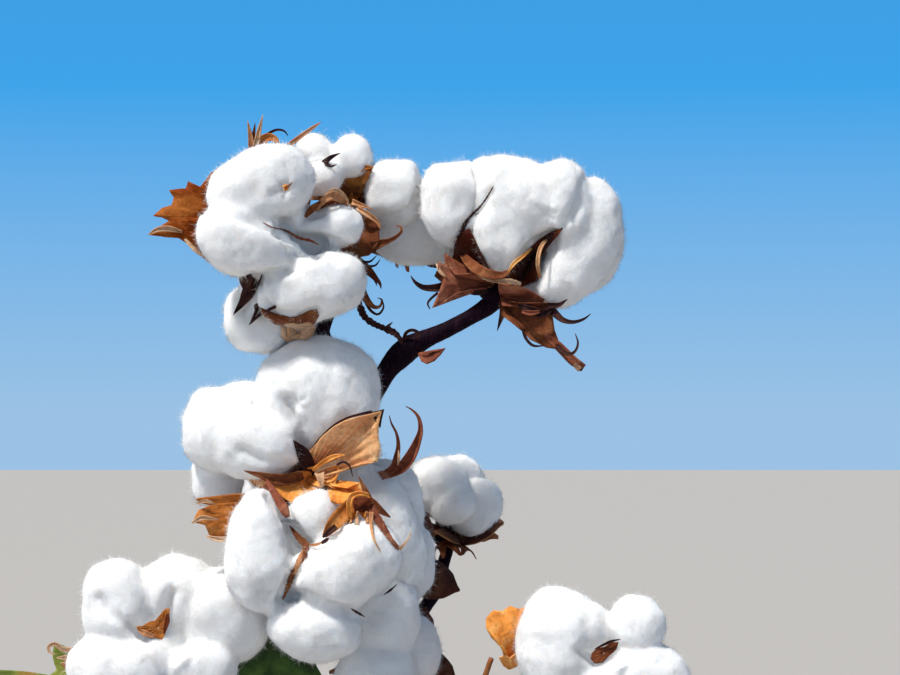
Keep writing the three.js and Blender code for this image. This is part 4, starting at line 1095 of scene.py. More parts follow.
blade(B["tan"], [(357, 208, -4), (368, 215, -5), (378, 223, -5), (380, 230, -5)], [1.1, 1.4, 0.9, 0.2], roll=1.3, seed=5)
blade(B["dark"], [(354, 259, 0), (362, 261.6, -1), (370, 261.6, -2), (376.5, 255.5, -3)], [0.8, 0.7, 0.5, 0.1], roll=1.4, seed=6)
blade(B["dark"], [(356, 261, 0), (366, 265.6, -1), (375, 265.6, -2), (380, 259.5, -3)], [0.8, 0.6, 0.45, 0.1], roll=1.4, seed=7)
blade(B["brown"], [(352, 256, 2), (360, 264, 0), (368, 270.5, -1), (375, 278, -3), (380, 284, -4), (381, 289, -4)], [2.2, 2.6, 2.1, 1.3, 0.6, 0.1], roll=1.0, seed=8)
blade(B["dark"], [(370, 273, -1), (375, 281, -3), (377, 286, -4)], [0.5, 0.5, 0.1], roll=1.0, seed=9)
blade(B["brown"], [(350, 268, 3), (357, 280, 0), (362, 292, -1), (368, 302, -3), (375, 307.6, -4), (380.5, 306, -5), (381.5, 300, -5), (377.5, 298.2, -4)],
      [1.2, 1.9, 2.1, 1.5, 0.75, 0.5, 0.38, 0.1], roll=1.0, seed=10)
blade(B["dark"], [(366, 303, -1), (371, 311, -2), (378, 314.6, -3), (383.4, 308, -4), (382, 299, -4)], [0.7, 0.6, 0.5, 0.42, 0.1], roll=1.3, seed=11)
blade(B["dark"], [(349, 272, 4), (354, 288, 1), (359, 303, 0), (364, 316, -1), (373, 323.5, -2), (384, 328.5, -3), (395, 333.5, -3), (400.5, 340, -2), (402, 345, 0)], [0.6, 1.1, 1.4, 1.6, 1.2, 1.4, 1.5, 0.9, 0.2], roll=1.0, seed=12, teeth=0.6)
blade(B["dark"], [(385, 329, -3), (389, 325.5, -4), (392.5, 322.5, -4)], [0.7, 0.6, 0.1], roll=1.2, seed=13)
patch(B["dark"], (262, 268, 4), [(238, 279, -14), (239, 284, -15), (242, 290, -15), (238, 303, -15), (232.5, 316, -15), (242, 308, -14), (251, 299, -13), (256, 290, -12), (260, 280, -11)], 0.6, 0.3, 0, 7, 9, 3, over=0.3, clear=0.2)
blade(B["brown"], [(252, 279, -15), (249, 287, -17), (246, 295, -17)], [1.6, 1.7, 0.3], roll=0.8, seed=14, over=0.0)
patch(B["dark"], (276, 290, 2), [(254, 307, -12), (255, 312, -13), (249, 327, -14), (259, 318, -13), (268, 313, -12), (276, 309, -10)], 0.5, 0.3, 0, 8, 8, 3, over=0.7, clear=0.2)
patch(B["brown"], (289, 321, -10), [(257, 307, -10), (265, 311, -10), (276, 314.5, -10), (290, 318, -10), (302, 317, -10), (311, 311, -10), (317, 310, -10), (319, 316, -10), (315, 324, -10), (303, 327, -10),
      (289, 327, -10), (275, 325, -10), (265, 317.5, -10), (257, 307, -10)], 0.8, 1.1, 0.3, 15, 9, 4, over=0.0, clear=0.3)
patch(B["straw"], (298, 332, -10), [(281, 325, -10), (290, 323, -10), (300, 324.5, -10), (311, 322, -10), (316, 327, -10), (314, 335, -10), (307, 341, -10), (297, 340, -10), (288, 343, -10), (281, 337, -10), (281, 325, -10)],
      2.2, 1.8, -0.4, 16, 10, 4, over=0.0, clear=0.7)
blade(B["tan"], [(287, 326, -12), (289, 333, -14), (287, 341, -12)], [0.2, 0.9, 0.2], roll=0.7, seed=107, over=0.0, clear=1.6)
blade(B["tan"], [(252, 150, 2), (250, 136, 1), (247, 120, 0)], [1.9, 1.1, 0.1], roll=1.0, seed=17)
blade(B["straw"], [(255, 149, 1), (258.5, 131, 0), (262.3, 114, -1)], [1.6, 1.1, 0.1], roll=1.2, seed=18)
blade(B["brown"], [(250, 148, 3), (253, 134, 2), (254.5, 122, 1)], [1.2, 0.8, 0.1], roll=1.0, seed=19)
blade(B["orange"], [(255, 149, 3), (261, 141, 1), (268, 136.5, 0), (275, 139, -1), (278, 144, -2)], [2.2, 2.4, 1.9, 1.4, 0.5], roll=1.0, seed=20)
blade(B["dark"], [(262, 140, 2), (268, 133, 1), (277, 129, 0), (284, 130.5, 0), (287.5, 135, 0)], [1.0, 0.65, 0.5, 0.42, 0.1], roll=1.2, seed=21)
blade(B["tan"], [(285, 148, 0), (296, 139, -1), (307, 131, -2), (314, 126, -2), (320.5, 121.5, -2)], [1.4, 1.1, 0.85, 0.7, 0.1], roll=1.2, seed=22)
blade(B["brown"], [(284, 150, 3), (291, 142.5, 2), (303, 134, 1)], [1.0, 0.8, 0.2], roll=1.0, seed=23)
blade(B["brown"], [(305, 218, -17), (312, 210, -20), (320, 203, -21)], [0.6, 1.7, 0.4], roll=0.8, seed=105, over=0.0)
patch(B["tan"], (318, 222, 6), [(305, 218, -14), (309, 210, -18), (314, 202, -19), (322, 195.5, -18), (332, 190.5, -17), (343, 194.5, -14), (349, 203, -10),
      (342, 207, -9), (334, 210, -9), (330, 214, -8)], 1.8, 0.6, 0.4, 9, 10, 3)
blade(B["straw"], [(327, 194.5, -19), (334, 191, -20), (341, 194, -18), (348, 202, -14)], [0.3, 0.8, 1.0, 0.4], roll=1.2, seed=24)
blade(B["tan"], [(316, 212, -17), (322, 203, -20), (330, 197.5, -20), (338, 199, -17), (342, 204, -14)], [0.4, 1.3, 1.8, 1.6, 0.7], roll=0.7, seed=25)
# a thin dark rose strip laid in the crease under the top lock: painted shade of the gap between the locks
blade(B["rose"], [(262, 223.5, -22), (272, 229, -25), (285, 232, -23), (299, 239.5, -22), (310, 242, -21), (319, 246.5, -20)], [0.06, 0.24, 0.3, 0.62, 0.5, 0.08], roll=0.8, seed=26, teeth=0.9, crinkle=0.9, over=0.0, clear=-0.12)

patch(B["amber"], (285.5, 190, -36), [(282, 188, -36), (286, 186.5, -36), (289, 189, -36), (287.5, 192.5, -36), (284, 193, -36), (282, 188, -36)], 0.1, 0.5, 0, 110, 5, 3, over=0.0, clear=0.15)
blade(B["brown"], [(283, 191, -36), (288, 188.5, -37), (292, 185, -36)], [0.15, 0.4, 0.08], roll=0.6, seed=111, crinkle=0.5, over=0.0, clear=0.3)
blade(B["brown"], [(286, 189, -36), (285, 194, -37)], [0.35, 0.1], roll=0.6, seed=112, over=0.0, clear=0.3)

# ---- small boll behind: its brown valve, drawn in the lighter orange tone as painted light, and its hooked tooth
patch(B["orange"], (352, 206, 14), [(337, 196, 10), (334, 184, 9), (338, 174, 8), (347, 172, 6), (357, 170, 5), (366, 167, 3), (372.5, 167, 1), (369, 177, 5),
      (364, 186, 8), (358, 196, 10), (355, 203, 12)], -1.2, 0.8, 1.2, 11, 11, 3)
blade(B["orange"], [(348, 172.5, 4), (358, 169.5, 3), (366, 167, 1), (373, 167, 0)], [0.6, 1.3, 1.2, 0.2], roll=1.1, seed=27)
blade(B["orange"], [(369, 169, 2), (366, 177, 3), (361, 184, 5)], [0.9, 1.2, 0.4], roll=1.0, seed=28)
blade(B["dark"], [(324, 163, 0), (328.5, 158.5, -1), (333.5, 155.4, -2), (340, 152.8, -3)], [1.6, 1.2, 0.6, 0.1], roll=1.0, seed=29, over=0.0)
blade(B["dark"], [(326, 163.5, -1), (331, 166, -2), (336.5, 164, -3)], [1.0, 0.6, 0.1], roll=1.0, seed=30, over=0.0)

# ---- boll to the right of it: toothed dark seam beside its lock
blade(B["dark"], [(493.5, 186, -4), (488, 196, -6), (480, 207, -6), (470, 217, -4), (463, 228, 0), (460, 240, 4)], [0.12, 0.3, 0.32, 0.5, 0.9, 1.2], roll=0.8, seed=31, teeth=1.6, cols=7, crinkle=0.5, over=0.0, clear=0.15)

# ---- right boll, seen from its side: open woody valves and the bracts under them
# the wine, maroon and near-black patches inside the open valves: partly the valves' own dark red, partly painted shade
# of their hollows
patch(B["wine"], (490, 284, 0), [(450, 264, 4), (454, 255, 3), (455, 245, 3), (461, 232, 3), (470, 228, 3), (479, 248, 2), (489, 268, 0)], 1.0, 0.4, 0.6, 33, 11, 3, over=0.3, clear=1.7)
blade(B["brown"], [(463, 256, -8), (470, 265, -14), (479, 272.5, -20), (490, 277, -22), (500, 277.5, -21), (509, 273, -18)], [1.4, 2.4, 2.7, 2.3, 1.9, 0.9], roll=0.9, seed=34, face=(0, -0.9, 0.4), over=0.0)
patch(B["maroon"], (516, 290, 0), [(505, 279, -10), (512, 267, -11), (522, 258, -11), (532, 248, -10), (541, 239, -8), (552, 232, -5), (564, 227.5, -2),
      (556, 238, -3), (545, 247, -6), (539, 256, -9), (537, 268, -10), (539, 281, -10)], -1.5, 0.5, 0.4, 35, 13, 4, over=0.2)
patch(B["dark"], (520, 284, -3), [(519, 268, -12), (528, 257, -12.5), (535, 248, -11.5), (545, 238, -9.5), (563, 228, -3.5), (548, 243, -8), (538, 256, -10.5), (534, 270, -11)], -0.8, 0.3, 0.2, 36, 11, 4, over=0.15)
blade(B["amber"], [(531.5, 249.5, -15), (523, 257.5, -18), (514, 265, -20), (508.5, 273, -20)], [0.4, 0.8, 0.9, 0.4], roll=1.2, seed=37, over=0.0)
blade(B["tan"], [(549.5, 239.5, -15), (543, 245, -18), (539, 255, -20), (538, 267, -20), (540, 279, -17)], [0.3, 0.8, 0.9, 0.9, 0.4], roll=1.1, seed=38, over=0.0)
patch(B["rose"], (493, 286, -2), [(492, 277, -12), (484, 277, -14), (478, 275, -14), (467, 268, -16), (470, 275, -15), (462, 276, -15), (453, 276, -15), (449, 270, -14), (443, 255, -13),
      (444, 266, -14), (443, 274, -14), (436, 264, -16), (437, 271, -16), (443, 279, -16), (440, 287, -17), (438, 294, -18), (430.5, 310.5, -20), (440, 306, -18), (447, 300, -16),
      (454, 295.5, -14), (466, 291.5, -12), (484, 290, -8)], 2.2, 0.8, 0.6, 39, 14, 3)
blade(B["dark"], [(446, 287, -15), (434, 289.3, -17), (423, 288.6, -18), (415.5, 284, -19), (410.5, 277, -19)], [2.1, 1.7, 1.2, 0.7, 0.1], roll=1.0, seed=40)
blade(B["dark"], [(438, 294, -17), (431, 300, -18), (427.6, 305, -19), (430, 310.5, -20)], [0.6, 0.5, 0.45, 0.2], roll=1.3, seed=41)
blade(B["straw"], [(436.5, 265, -17), (440, 273, -18), (446, 278, -18)], [0.2, 0.9, 0.4], roll=1.0, seed=42)
blade(B["dark"], [(464, 290.5, -9), (475, 292.6, -10), (488, 290.5, -9)], [0.6, 1.6, 1.2], roll=0.8, seed=43)
blade(B["straw"], [(478, 275, -17), (488, 279.5, -20), (499, 282, -21), (510, 283, -20), (521, 285, -17)], [0.7, 1.4, 1.3, 1.1, 0.6], roll=1.1, seed=44, teeth=0.5)
patch(B["rose"], (500, 296, -6), [(499, 282.5, -13), (510, 284, -16), (521, 285.5, -16), (533, 291.5, -15), (545.5, 299, -13), (541, 304.5, -12), (521, 306, -12), (503, 305, -10)], 1.6, 0.7, 0.4, 45, 11, 3)
patch(B["brown"], (500, 300, -4), [(520, 304, -14), (537, 304.5, -14), (551.5, 304, -12), (553.5, 315, -12), (555.5, 331, -12), (560.5, 345, -13), (556, 350, -13), (547, 348.5, -12), (538, 343.5, -12),
      (532, 341, -12), (524.5, 333, -11), (512, 323, -9), (501, 315, -7)], 2.2, 0.9, 0.5, 46, 14, 3)
blade(B["rose"], [(545, 335, -13), (556, 345, -14), (564, 353, -15), (573, 362, -15), (583.5, 369.5, -15)], [1.0, 1.9, 2.1, 2.2, 1.8], roll=1.0, seed=47)
blade(B["straw"], [(574, 365.5, -16), (580, 371, -16)], [0.9, 1.1], roll=0.8, seed=48)
blade(B["dark"], [(548, 308, -14), (556, 315.5, -15), (563, 321.3, -16), (573, 323.4, -17), (584, 320.3, -17), (591, 315, -17)], [1.9, 1.7, 1.2, 0.75, 0.5, 0.1], roll=1.0, seed=49)
blade(B["dark"], [(548, 307, -15), (559, 306, -16), (567.5, 300.5, -17)], [1.5, 1.0, 0.1], roll=1.0, seed=50)
blade(B["dark"], [(557, 347, -15), (563, 353, -17), (570, 355.6, -18), (575.6, 352, -18), (578, 344, -18), (575.3, 335, -18)], [1.2, 1.0, 0.7, 0.52, 0.42, 0.1], roll=1.1, seed=51)
blade(B["dark"], [(503, 313, -8), (500.5, 321, -9), (497.3, 331.5, -10)], [1.5, 0.8, 0.1], roll=1.0, seed=52)
blade(B["dark"], [(523, 331, -12), (526, 339.5, -13), (533, 346.6, -14), (544, 347, -14)], [0.6, 0.65, 0.6, 0.15], roll=1.2, seed=53)
blade(B["dark"], [(519, 306, -15), (531, 311.5, -17), (543, 315, -17), (552, 311, -15)], [0.8, 1.8, 1.8, 0.6], roll=1.1, seed=54)
blade(B["rose"], [(522, 313, -16), (531, 314.5, -18), (540, 313, -18)], [0.6, 1.3, 0.5], roll=1.1, seed=55)

# ---- on the dark branch: a curled stub and a small folded bract
blade(B["dark"], [(404, 340, 1), (406, 333, 0), (412, 330.2, -1), (418.5, 333, -1), (418, 338, -1), (413, 337.5, -1)], [1.0, 0.8, 0.8, 0.7, 0.6, 0.2], roll=1.5, seed=56)
patch(B["rose"], (418, 353, 2), [(421, 358, 0), (422, 362, -1), (427, 364.7, -2), (435, 361.5, -2), (441, 355.5, -2), (446, 348.5, -2), (439, 351.5, -2), (433, 352, -2), (428, 357, -1), (423, 356, 0)], 0.8, 0.4, 0, 57, 8, 3)

# ---- shaded boll: the large veined valve, its neighbours and the curled bract at its right
patch(B["honey"], (308, 478, -8), [(308, 459, -15), (313, 450, -19), (325, 436, -25), (336, 427, -29), (348, 421, -31), (360, 417.5, -32), (372, 415, -33), (384, 412, -33), (381, 425, -33),
      (380.5, 437, -32), (382.5, 449, -32), (380, 462, -30), (364, 464, -28), (350, 469, -24), (335, 476, -18), (319, 480, -12)], 3.0, 0.5, 0.5, 58, 17, 5, 0.5, over=0.0)
blade(B["dark"], [(308, 459, -16), (313, 449.5, -20), (325, 435.5, -26), (336, 426.4, -30), (348, 420.3, -32), (360, 417, -33), (372, 414.5, -34)], [0.3, 0.45, 0.45, 0.45, 0.45, 0.5, 0.6], roll=0.8, seed=59, crinkle=0.1, over=0.0)
patch(B["dark"], (374, 420, -33.4), [(371, 414.5, -34), (378, 413.5, -34), (384.5, 411.5, -34.2), (382, 422, -34), (380.5, 431, -33.5), (377, 426, -34)], 0.4, 0.2, 0, 60, 5, 3, over=0.0)
# bright amber and straw streaks at the foot of the valve: partly painted light, for sun shining through the valve there
blade(B["amber"], [(313, 472, -20), (322, 465, -24), (334, 459, -28), (345, 457, -30)], [0.5, 1.0, 1.1, 0.2], roll=0.9, seed=61, over=0.0)
blade(B["straw"], [(315, 474, -20), (328, 467, -25), (341, 464, -28), (352, 465, -30)], [0.5, 1.1, 1.1, 0.2], roll=0.9, seed=62, over=0.0)
blade(B["dark"], [(337, 467, -28), (344, 464.3, -30), (349.5, 468, -31), (352.8, 478.5, -31)], [0.4, 0.4, 0.32, 0.1], roll=1.0, seed=63, over=0.0)
blade(B["dark"], [(310, 476, -12), (307.5, 464, -18), (302, 453, -21), (293.5, 442, -23)], [1.6, 3.0, 2.9, 0.1], roll=0.9, seed=64, over=0.0)
patch(B["amber"], (320, 474, -8), [(309, 470, -16), (318, 468, -19), (330, 467, -20), (342, 470, -21), (339, 480, -22), (336, 491, -23), (329, 487, -22), (322.5, 489.5, -21), (315, 487, -18), (309, 482, -15)], 1.6, 0.7, 0.3, 65, 10, 3, over=0.0)
blade(B["straw"], [(320, 475, -22), (321.5, 482, -24), (322.5, 489.5, -24)], [2.2, 1.7, 0.1], roll=0.9, seed=66, over=0.0)
patch(B["amber"], (314, 480, -10), [(320, 489, -16), (315, 496, -19), (303, 503, -24), (291, 508, -28), (281, 501, -27), (271.5, 491, -26), (279, 484, -23), (286, 478, -20), (296, 475, -17), (305, 473.5, -14)], 2.4, 0.7, 0.3, 67, 12, 3)
blade(B["brown"], [(303, 477, -18), (293, 480.5, -23), (282, 482, -26), (271, 480.5, -27), (262, 477.6, -28), (252, 475, -28), (244, 472.8, -28)], [1.4, 2.4, 2.7, 2.3, 1.4, 0.7, 0.1], roll=0.9, seed=68, over=0.0)
blade(B["rose"], [(265, 481, -27), (271.5, 490, -31), (278, 501, -35), (284.5, 512, -38), (288, 520, -38)], [0.5, 1.3, 1.8, 2.3, 1.0], roll=1.0, seed=69, over=0.0)
patch(B["orange"], (284, 500, -10), [(262, 494, -16), (251, 495, -20), (234, 495.5, -22), (214, 498, -23), (195, 500.5, -25), (200, 505, -24), (210, 507, -23), (198, 512, -24), (193, 524, -26),
      (205, 527, -25), (209, 537, -25), (228, 540.5, -23), (246, 536, -19)], 2.8, 1.2, -0.8, 70, 14, 4)
blade(B["straw"], [(197, 505.5, -26), (206, 503, -27), (216, 506.5, -26)], [0.3, 0.9, 0.2], roll=1.0, seed=71)
blade(B["straw"], [(192.5, 525, -27), (202, 520, -28), (219, 521.5, -26)], [0.3, 1.3, 0.3], roll=1.2, seed=72)
blade(B["straw"], [(207, 538, -26), (219, 541, -26), (236, 538.5, -23)], [0.4, 1.3, 0.7], roll=1.1, seed=73)
patch(B["amber"], (328, 482, -14), [(334, 489, -23), (349, 492, -28), (362, 487, -31), (366, 494, -32), (373, 503, -32), (362, 501, -31), (351, 506, -31), (340, 508, -29), (333, 505, -25)], 1.8, 0.7, 0.3, 74, 11, 3, over=0.0)
blade(B["brown"], [(371.5, 509, -33), (367, 497, -33), (362.5, 487, -33), (358.8, 479, -33)], [1.9, 1.5, 0.8, 0.1], roll=1.0, seed=75, over=0.0)
patch(B["amber"], (360, 516, -28), [(350, 526, -33), (347.5, 512, -34), (348.5, 499.5, -34), (358, 495.5, -34), (368, 496, -34), (372, 504, -34), (371.5, 515, -34), (370.5, 526, -33)], 0.6, 0.4, 0, 76, 8, 3, over=0.0)
# a maroon patch in the mouth of the curled bract: painted shade of the hollow inside the tube
patch(B["maroon"], (362.5, 507.5, -37), [(354, 501, -36.5), (363, 499.5, -36.5), (371, 501, -36.5), (371.6, 508, -36.5), (370.5, 514.5, -36.5), (362, 515, -36.5), (354.5, 513.5, -36.5), (353.5, 507, -36.5), (354, 501, -36.5)],
      -0.6, 0.1, 0, 77, 6, 3, over=0.0)
blade(B["amber"], [(350, 526, -35), (349.6, 513, -38), (351, 500.5, -39), (358, 496.5, -39), (369, 497.5, -38)], [0.7, 1.3, 1.3, 1.2, 0.6], roll=1.1, seed=101, over=0.0)
blade(B["straw"], [(357, 527, -36), (357.6, 514, -38.5)], [1.0, 0.35], roll=1.0, seed=102, over=0.0)
blade(B["tan"], [(368, 526, -36), (366.6, 514, -38.5)], [0.9, 0.3], roll=1.0, seed=104, over=0.0)
blade(B["brown"], [(366, 499, -33), (374, 507, -35), (382, 514, -36), (390.5, 520, -36)], [1.2, 2.0, 1.4, 0.2], roll=1.0, seed=78, over=0.0)
blade(B["rose"], [(371, 511, -36), (378, 522, -38), (385, 533, -39), (392, 543.5, -40), (399.5, 552, -40)], [1.3, 1.8, 1.5, 1.0, 0.6], roll=1.0, seed=79, teeth=0.3, over=0.0)
blade(B["straw"], [(399.5, 552, -40), (405, 546.5, -41), (408.5, 541, -41), (411.5, 534.5, -41)], [0.7, 0.55, 0.4, 0.1], roll=1.1, seed=80, over=0.0)
blade(B["tan"], [(371.5, 515, -38), (371.5, 529, -40), (374, 542, -41), (381, 555, -41)], [1.0, 0.75, 0.5, 0.1], roll=1.0, seed=81, over=0.0)
blade(B["orange"], [(352, 506, -33), (343, 517, -36), (333, 528, -38), (324.5, 539, -38)], [2.8, 3.5, 3.0, 0.9], roll=0.8, seed=82, over=0.0)
blade(B["dark"], [(336, 529, -39), (329, 535, -40), (323, 540, -39)], [1.0, 1.3, 0.4], roll=0.8, seed=83, over=0.0)
blade(B["rose"], [(325, 480, 12), (352, 480, 8), (378, 476, 2), (393, 472, -3), (403, 466.5, -6), (411, 456, -8), (417, 443, -9), (420.5, 431, -9), (418.5, 418, -9), (412, 410.5, -9), (405.5, 407, -9)],
      [1.5, 2.0, 2.2, 2.4, 2.9, 3.0, 2.0, 1.2, 0.7, 0.42, 0.1], roll=1.3, seed=84, over=0.3)
blade(B["rose"], [(385, 474, 0), (394, 467, -5), (396.5, 458, -7), (398.4, 446, -8), (396.5, 434, -8), (391.5, 424, -8), (389.3, 416, -8)], [1.6, 2.0, 1.5, 0.9, 0.55, 0.4, 0.1], roll=1.3, seed=85, over=0.3)
blade(B["straw"], [(398, 466, -10), (399, 458, -11), (398.4, 451, -10)], [0.2, 0.7, 0.15], roll=0.8, seed=86)

# ---- front boll: woody valve edges between its locks
blade(B["brown"], [(290, 528, -34), (298, 539, -36), (306, 547.5, -36), (305, 556, -36), (299, 568, -36)], [0.2, 1.1, 1.7, 1.3, 0.3], roll=0.7, seed=87, teeth=0.55, crinkle=0.6, over=0.0, clear=0.1)
blade(B["tan"], [(306, 549, -37), (301, 560, -37), (296.5, 571, -36), (293, 580, -35)], [0.3, 1.0, 0.9, 0.2], roll=0.5, seed=121, teeth=0.5, crinkle=0.6, over=0.0, clear=0.25)
blade(B["brown"], [(298, 566, -36), (293, 577, -35), (288, 590, -34), (283, 602, -31)], [0.4, 1.2, 1.0, 0.15], roll=0.7, seed=122, teeth=0.6, crinkle=0.6, over=0.0, clear=0.1)
blade(B["tan"], [(310, 548, -37), (318, 547, -39), (326, 543, -40)], [0.5, 0.6, 0.1], roll=0.9, seed=88, over=0.0, clear=0.1)
blade(B["dark"], [(322, 546, -41), (326, 543.5, -42), (329, 541, -41)], [0.5, 0.9, 0.2], roll=0.8, seed=89, over=0.0)
blade(B["dark"], [(384, 597, -36), (391, 592.5, -40), (397, 587, -40)], [0.1, 0.55, 0.1], roll=0.9, seed=90, teeth=0.8, over=0.0, clear=0.0)
blade(B["dark"], [(351, 611, -38), (358, 615.5, -42), (365, 619.5, -42)], [0.15, 0.5, 0.1], roll=0.8, seed=91, teeth=0.8, over=0.0, clear=-0.1)

# ---- left boll: the dry valve that shows between its locks
patch(B["orange"], (159, 630, -38), [(137, 629, -38), (144, 628, -38), (150, 624, -38), (156, 623, -38), (161, 617, -38), (166, 611, -38), (171, 611, -38), (170, 620, -38), (168, 629, -38), (166, 636, -38), (163, 642, -38),
      (156, 640, -38), (149, 637, -38), (143, 634, -38), (137, 629, -38)], 0.3, 0.9, 0.2, 94, 9, 4, over=0.0, clear=0.2)
blade(B["tan"], [(138, 631, -38), (147, 636, -39), (156, 639, -39)], [0.3, 1.5, 0.5], roll=0.8, seed=92, over=0.0, clear=0.5)
blade(B["maroon"], [(169, 613, -38), (168, 624, -39), (165, 636, -39)], [0.4, 1.1, 0.3], roll=0.8, seed=93, over=0.0, clear=0.4)

blade(B["straw"], [(90, 653, -16), (76, 651, -21), (64, 650, -23), (56, 645, -24), (50, 648, -24), (52, 654, -24), (58, 655, -24)], [1.2, 1.3, 1.1, 0.9, 0.7, 0.5, 0.1], roll=0.9, seed=123)
blade(B["straw"], [(92, 672, -18), (78, 665, -23), (67, 659, -25), (58, 659, -26)], [1.4, 1.7, 1.2, 0.2], roll=0.9, seed=124)
patch(B["orange"], (96, 660, -10), [(86, 650, -14), (78, 655, -17), (72, 652, -18), (70, 660, -19), (62, 664, -20), (66, 670, -20), (74, 674, -19), (84, 676, -16)], 1.6, 1.0, -0.6, 125, 9, 4)

# ---- far right boll
patch(B["brown"], (603, 655, -32), [(591, 655, -32), (597, 650, -32), (604, 648.5, -32), (611, 644, -32), (618, 644, -32), (616, 651, -32), (609, 657, -32), (602, 664, -32), (594, 665, -32), (590, 660, -32), (591, 655, -32)],
      0.0, 1.3, 0.2, 97, 8, 4, over=0.0, clear=0.0)
blade(B["dark"], [(594, 651, -32), (603, 646.5, -33), (611, 643, -33), (620, 641, -33)], [0.15, 0.5, 0.5, 0.1], roll=0.8, seed=98, teeth=0.5, crinkle=0.5, over=0.0, clear=0.1)

# ---- dry stumps of leaf stalks on the stem, small shrivelled bracts at the knots
for k, z in enumerate([104, 138, 166, 198, 243, 286, 336, 374, 411, 447, 479, 505]):
    a = 2.4 * k + 0.6
    at = np.array([np.interp(z, zs, centre[:, 0]), np.interp(z, zs, centre[:, 1]), z])
    out, up = np.array([math.cos(a), math.sin(a), 0.0]), np.array([0, 0, 1.0])
    length = 9 + 15 * chance(k, 3)
    line = [at, at + out * 8 + up * 2.5, at + out * (8 + 0.5 * length) + up * length * (0.3 + 0.4 * chance(k, 4)),
            at + out * (8 + 0.8 * length) + up * length * (0.5 + 0.7 * chance(k, 5))]
    add_tube(stalks, curve_points([p.tolist() for p in line], 16), np.linspace(1.7, 0.9, 16), 8, bark_relief(k * 1.7, 0.25, [(line[1], 2.2, 0.7)]))
for bi, (name, (rr, line)) in enumerate(BRANCHES.items()):
    if name in ("right_upper_branch", "middle_branch"):
        continue
    for j in (1, 2):
        at = np.array(line[j], float)
        t = unit(np.subtract(line[j + 1], line[j - 1]))
        for m in range(2):
            phi = 2.1 * bi + 3.0 * j + 2.4 * m
            n1 = unit(np.cross(t, [0.3, 0.2, 1.0]))
            out = n1 * math.cos(phi) + np.cross(t, n1) * math.sin(phi)
            along = unit(out + 0.5 * t)
            side = unit(np.cross(along, t))
            P = fan(at + out * 2.0, along, side, 9 + 6 * chance(bi, j + m), 0.5, 2 + m, 0.62, 0.9, 1.6, 300 + bi * 7 + j * 3 + m, 0.5)
            add_sheet(B[["brown", "rose", "orange", "tan"][(bi + j + m) % 4]], P, 0.3)

for tone, heap in B.items():
    heap.make(f"bracts_{tone}", [BRACT[tone]], "burr", burr_nodes)
valves.make("boll_valves", [VALVE_OUT, VALVE_IN], "burr", burr_nodes)
stalks.make("boll_stalks", [BRANCH_BARK], "burr", burr_nodes)


# short hairs on the young wood
hairs = Heap()
for wood, density, lowest in ((branch_objects["right_upper_branch"], 0.42, 0), (stem_object, 0.25, 600)):
    p, n, rng = surface_samples(wood, density * (1.0), 77 + lowest, lambda at, normal: (at[:, 2] > lowest) * 1.0)
    k = len(p)
    d = unit(n + 0.7 * rng.normal(size=(k, 3)))
    add_spikes(hairs, p, n, d, rng, rng.uniform(0.8, 1.7, k), rng.uniform(0.045, 0.075, k))
hairs.make("wood_hairs", [HAIR], "branch_bark")

# ---------------------------------------------------------------- leaves
def leaf_grid(foot, along, side, L, W, lobes, curl, seed, full=0.42):
    cols, rows = 61, 16
    spread = math.radians(118)
    th = np.linspace(-spread, spread, cols)
    lobe_at = np.radians({3: [-62, 0, 62], 5: [-104, -50, 0, 50, 104]}[lobes])
    lobe_len = {3: [0.74, 1.0, 0.74], 5: [0.5, 0.82, 1.0, 0.82, 0.5]}[lobes]
    R = np.zeros(cols)
    for at, ln in zip(lobe_at, lobe_len):
        R = np.maximum(R, ln * np.exp(-(np.abs(th - at) / math.radians(30)) ** 1.35))
    R = np.maximum(R, full)
    sx = W / (2 * 0.8 * L)
    rho = np.linspace(0.02, 1, rows)
    s = rho[:, None] * (R * L)[None]
    X = s * np.sin(th) * sx
    Y = s * np.cos(th)
    n = np.cross(side, along)
    vein = np.min(np.abs(th[None] - lobe_at[:, None]), 0)
    up = curl * L * (np.hypot(X, Y) / L) ** 2 - 0.9 * np.exp(-(vein / 0.06) ** 2)[None] * (1 - rho[:, None] * 0.6) + 0.10 * np.abs(X)
    P = foot + along * Y[..., None] + side * X[..., None] + n * up[..., None]
    q = P.reshape(-1, 3)
    return P + n * (2.4 * noise(q / 13 + seed) + 1.1 * noise(q / 5 + seed)).reshape(rows, cols)[..., None] * rho[:, None, None]


tones = {"leaf_far_left": "yellow", "leaf_front_left": "green", "leaf_dry_right": "dry", "leaf_low_right": "yellow", "leaf_low_left": "green"}
for k, (name, o) in enumerate(LEAVES.items()):
    along = unit(o["tip"])
    side = np.array(o["side"], float)
    side = unit(side - along * (side @ along))
    foot = np.array(o["foot"], float)
    heap = Heap()
    c = curve_points([*o["petiole"], (foot + along * 2).tolist()], 40)
    add_tube(heap, c, np.linspace(1.5, 1.1, 40), 10, bark_relief(k + 40.0, 0.12), mat=1)
    if name == "leaf_dry_right":
        patch(heap, (509, 664, 2), [(505, 655, 0), (500, 643, -3), (491, 637, -5), (486, 628, -6), (487, 617, -5), (493, 610, -3), (503, 611, -2), (511, 606, -3),
              (520, 609, -1), (530, 605, 0), (532, 613, 2), (525, 619, 3), (524, 630, 2), (519, 641, 2), (517, 652, 3)], 2.6, 1.9, -2.0, 66, 15, 5)
        patch(heap, (511, 668, 3), [(503, 664, -2), (498, 655, -4), (503, 652, -4), (509, 655, -4), (515, 650, -3), (519, 658, -1)], 1.2, 0.9, 0.6, 67, 8, 4)
    else:
        P = leaf_grid(foot, along, side, o["length"], o["width"], o["lobes"], -0.2, 60 + k, 0.72 if name == "leaf_front_left" else 0.42)
        add_sheet(heap, P, 0.4)
    heap.make(name + "_blade", [LEAF[tones[name]], LEAF["red"]], "leaf", [name])

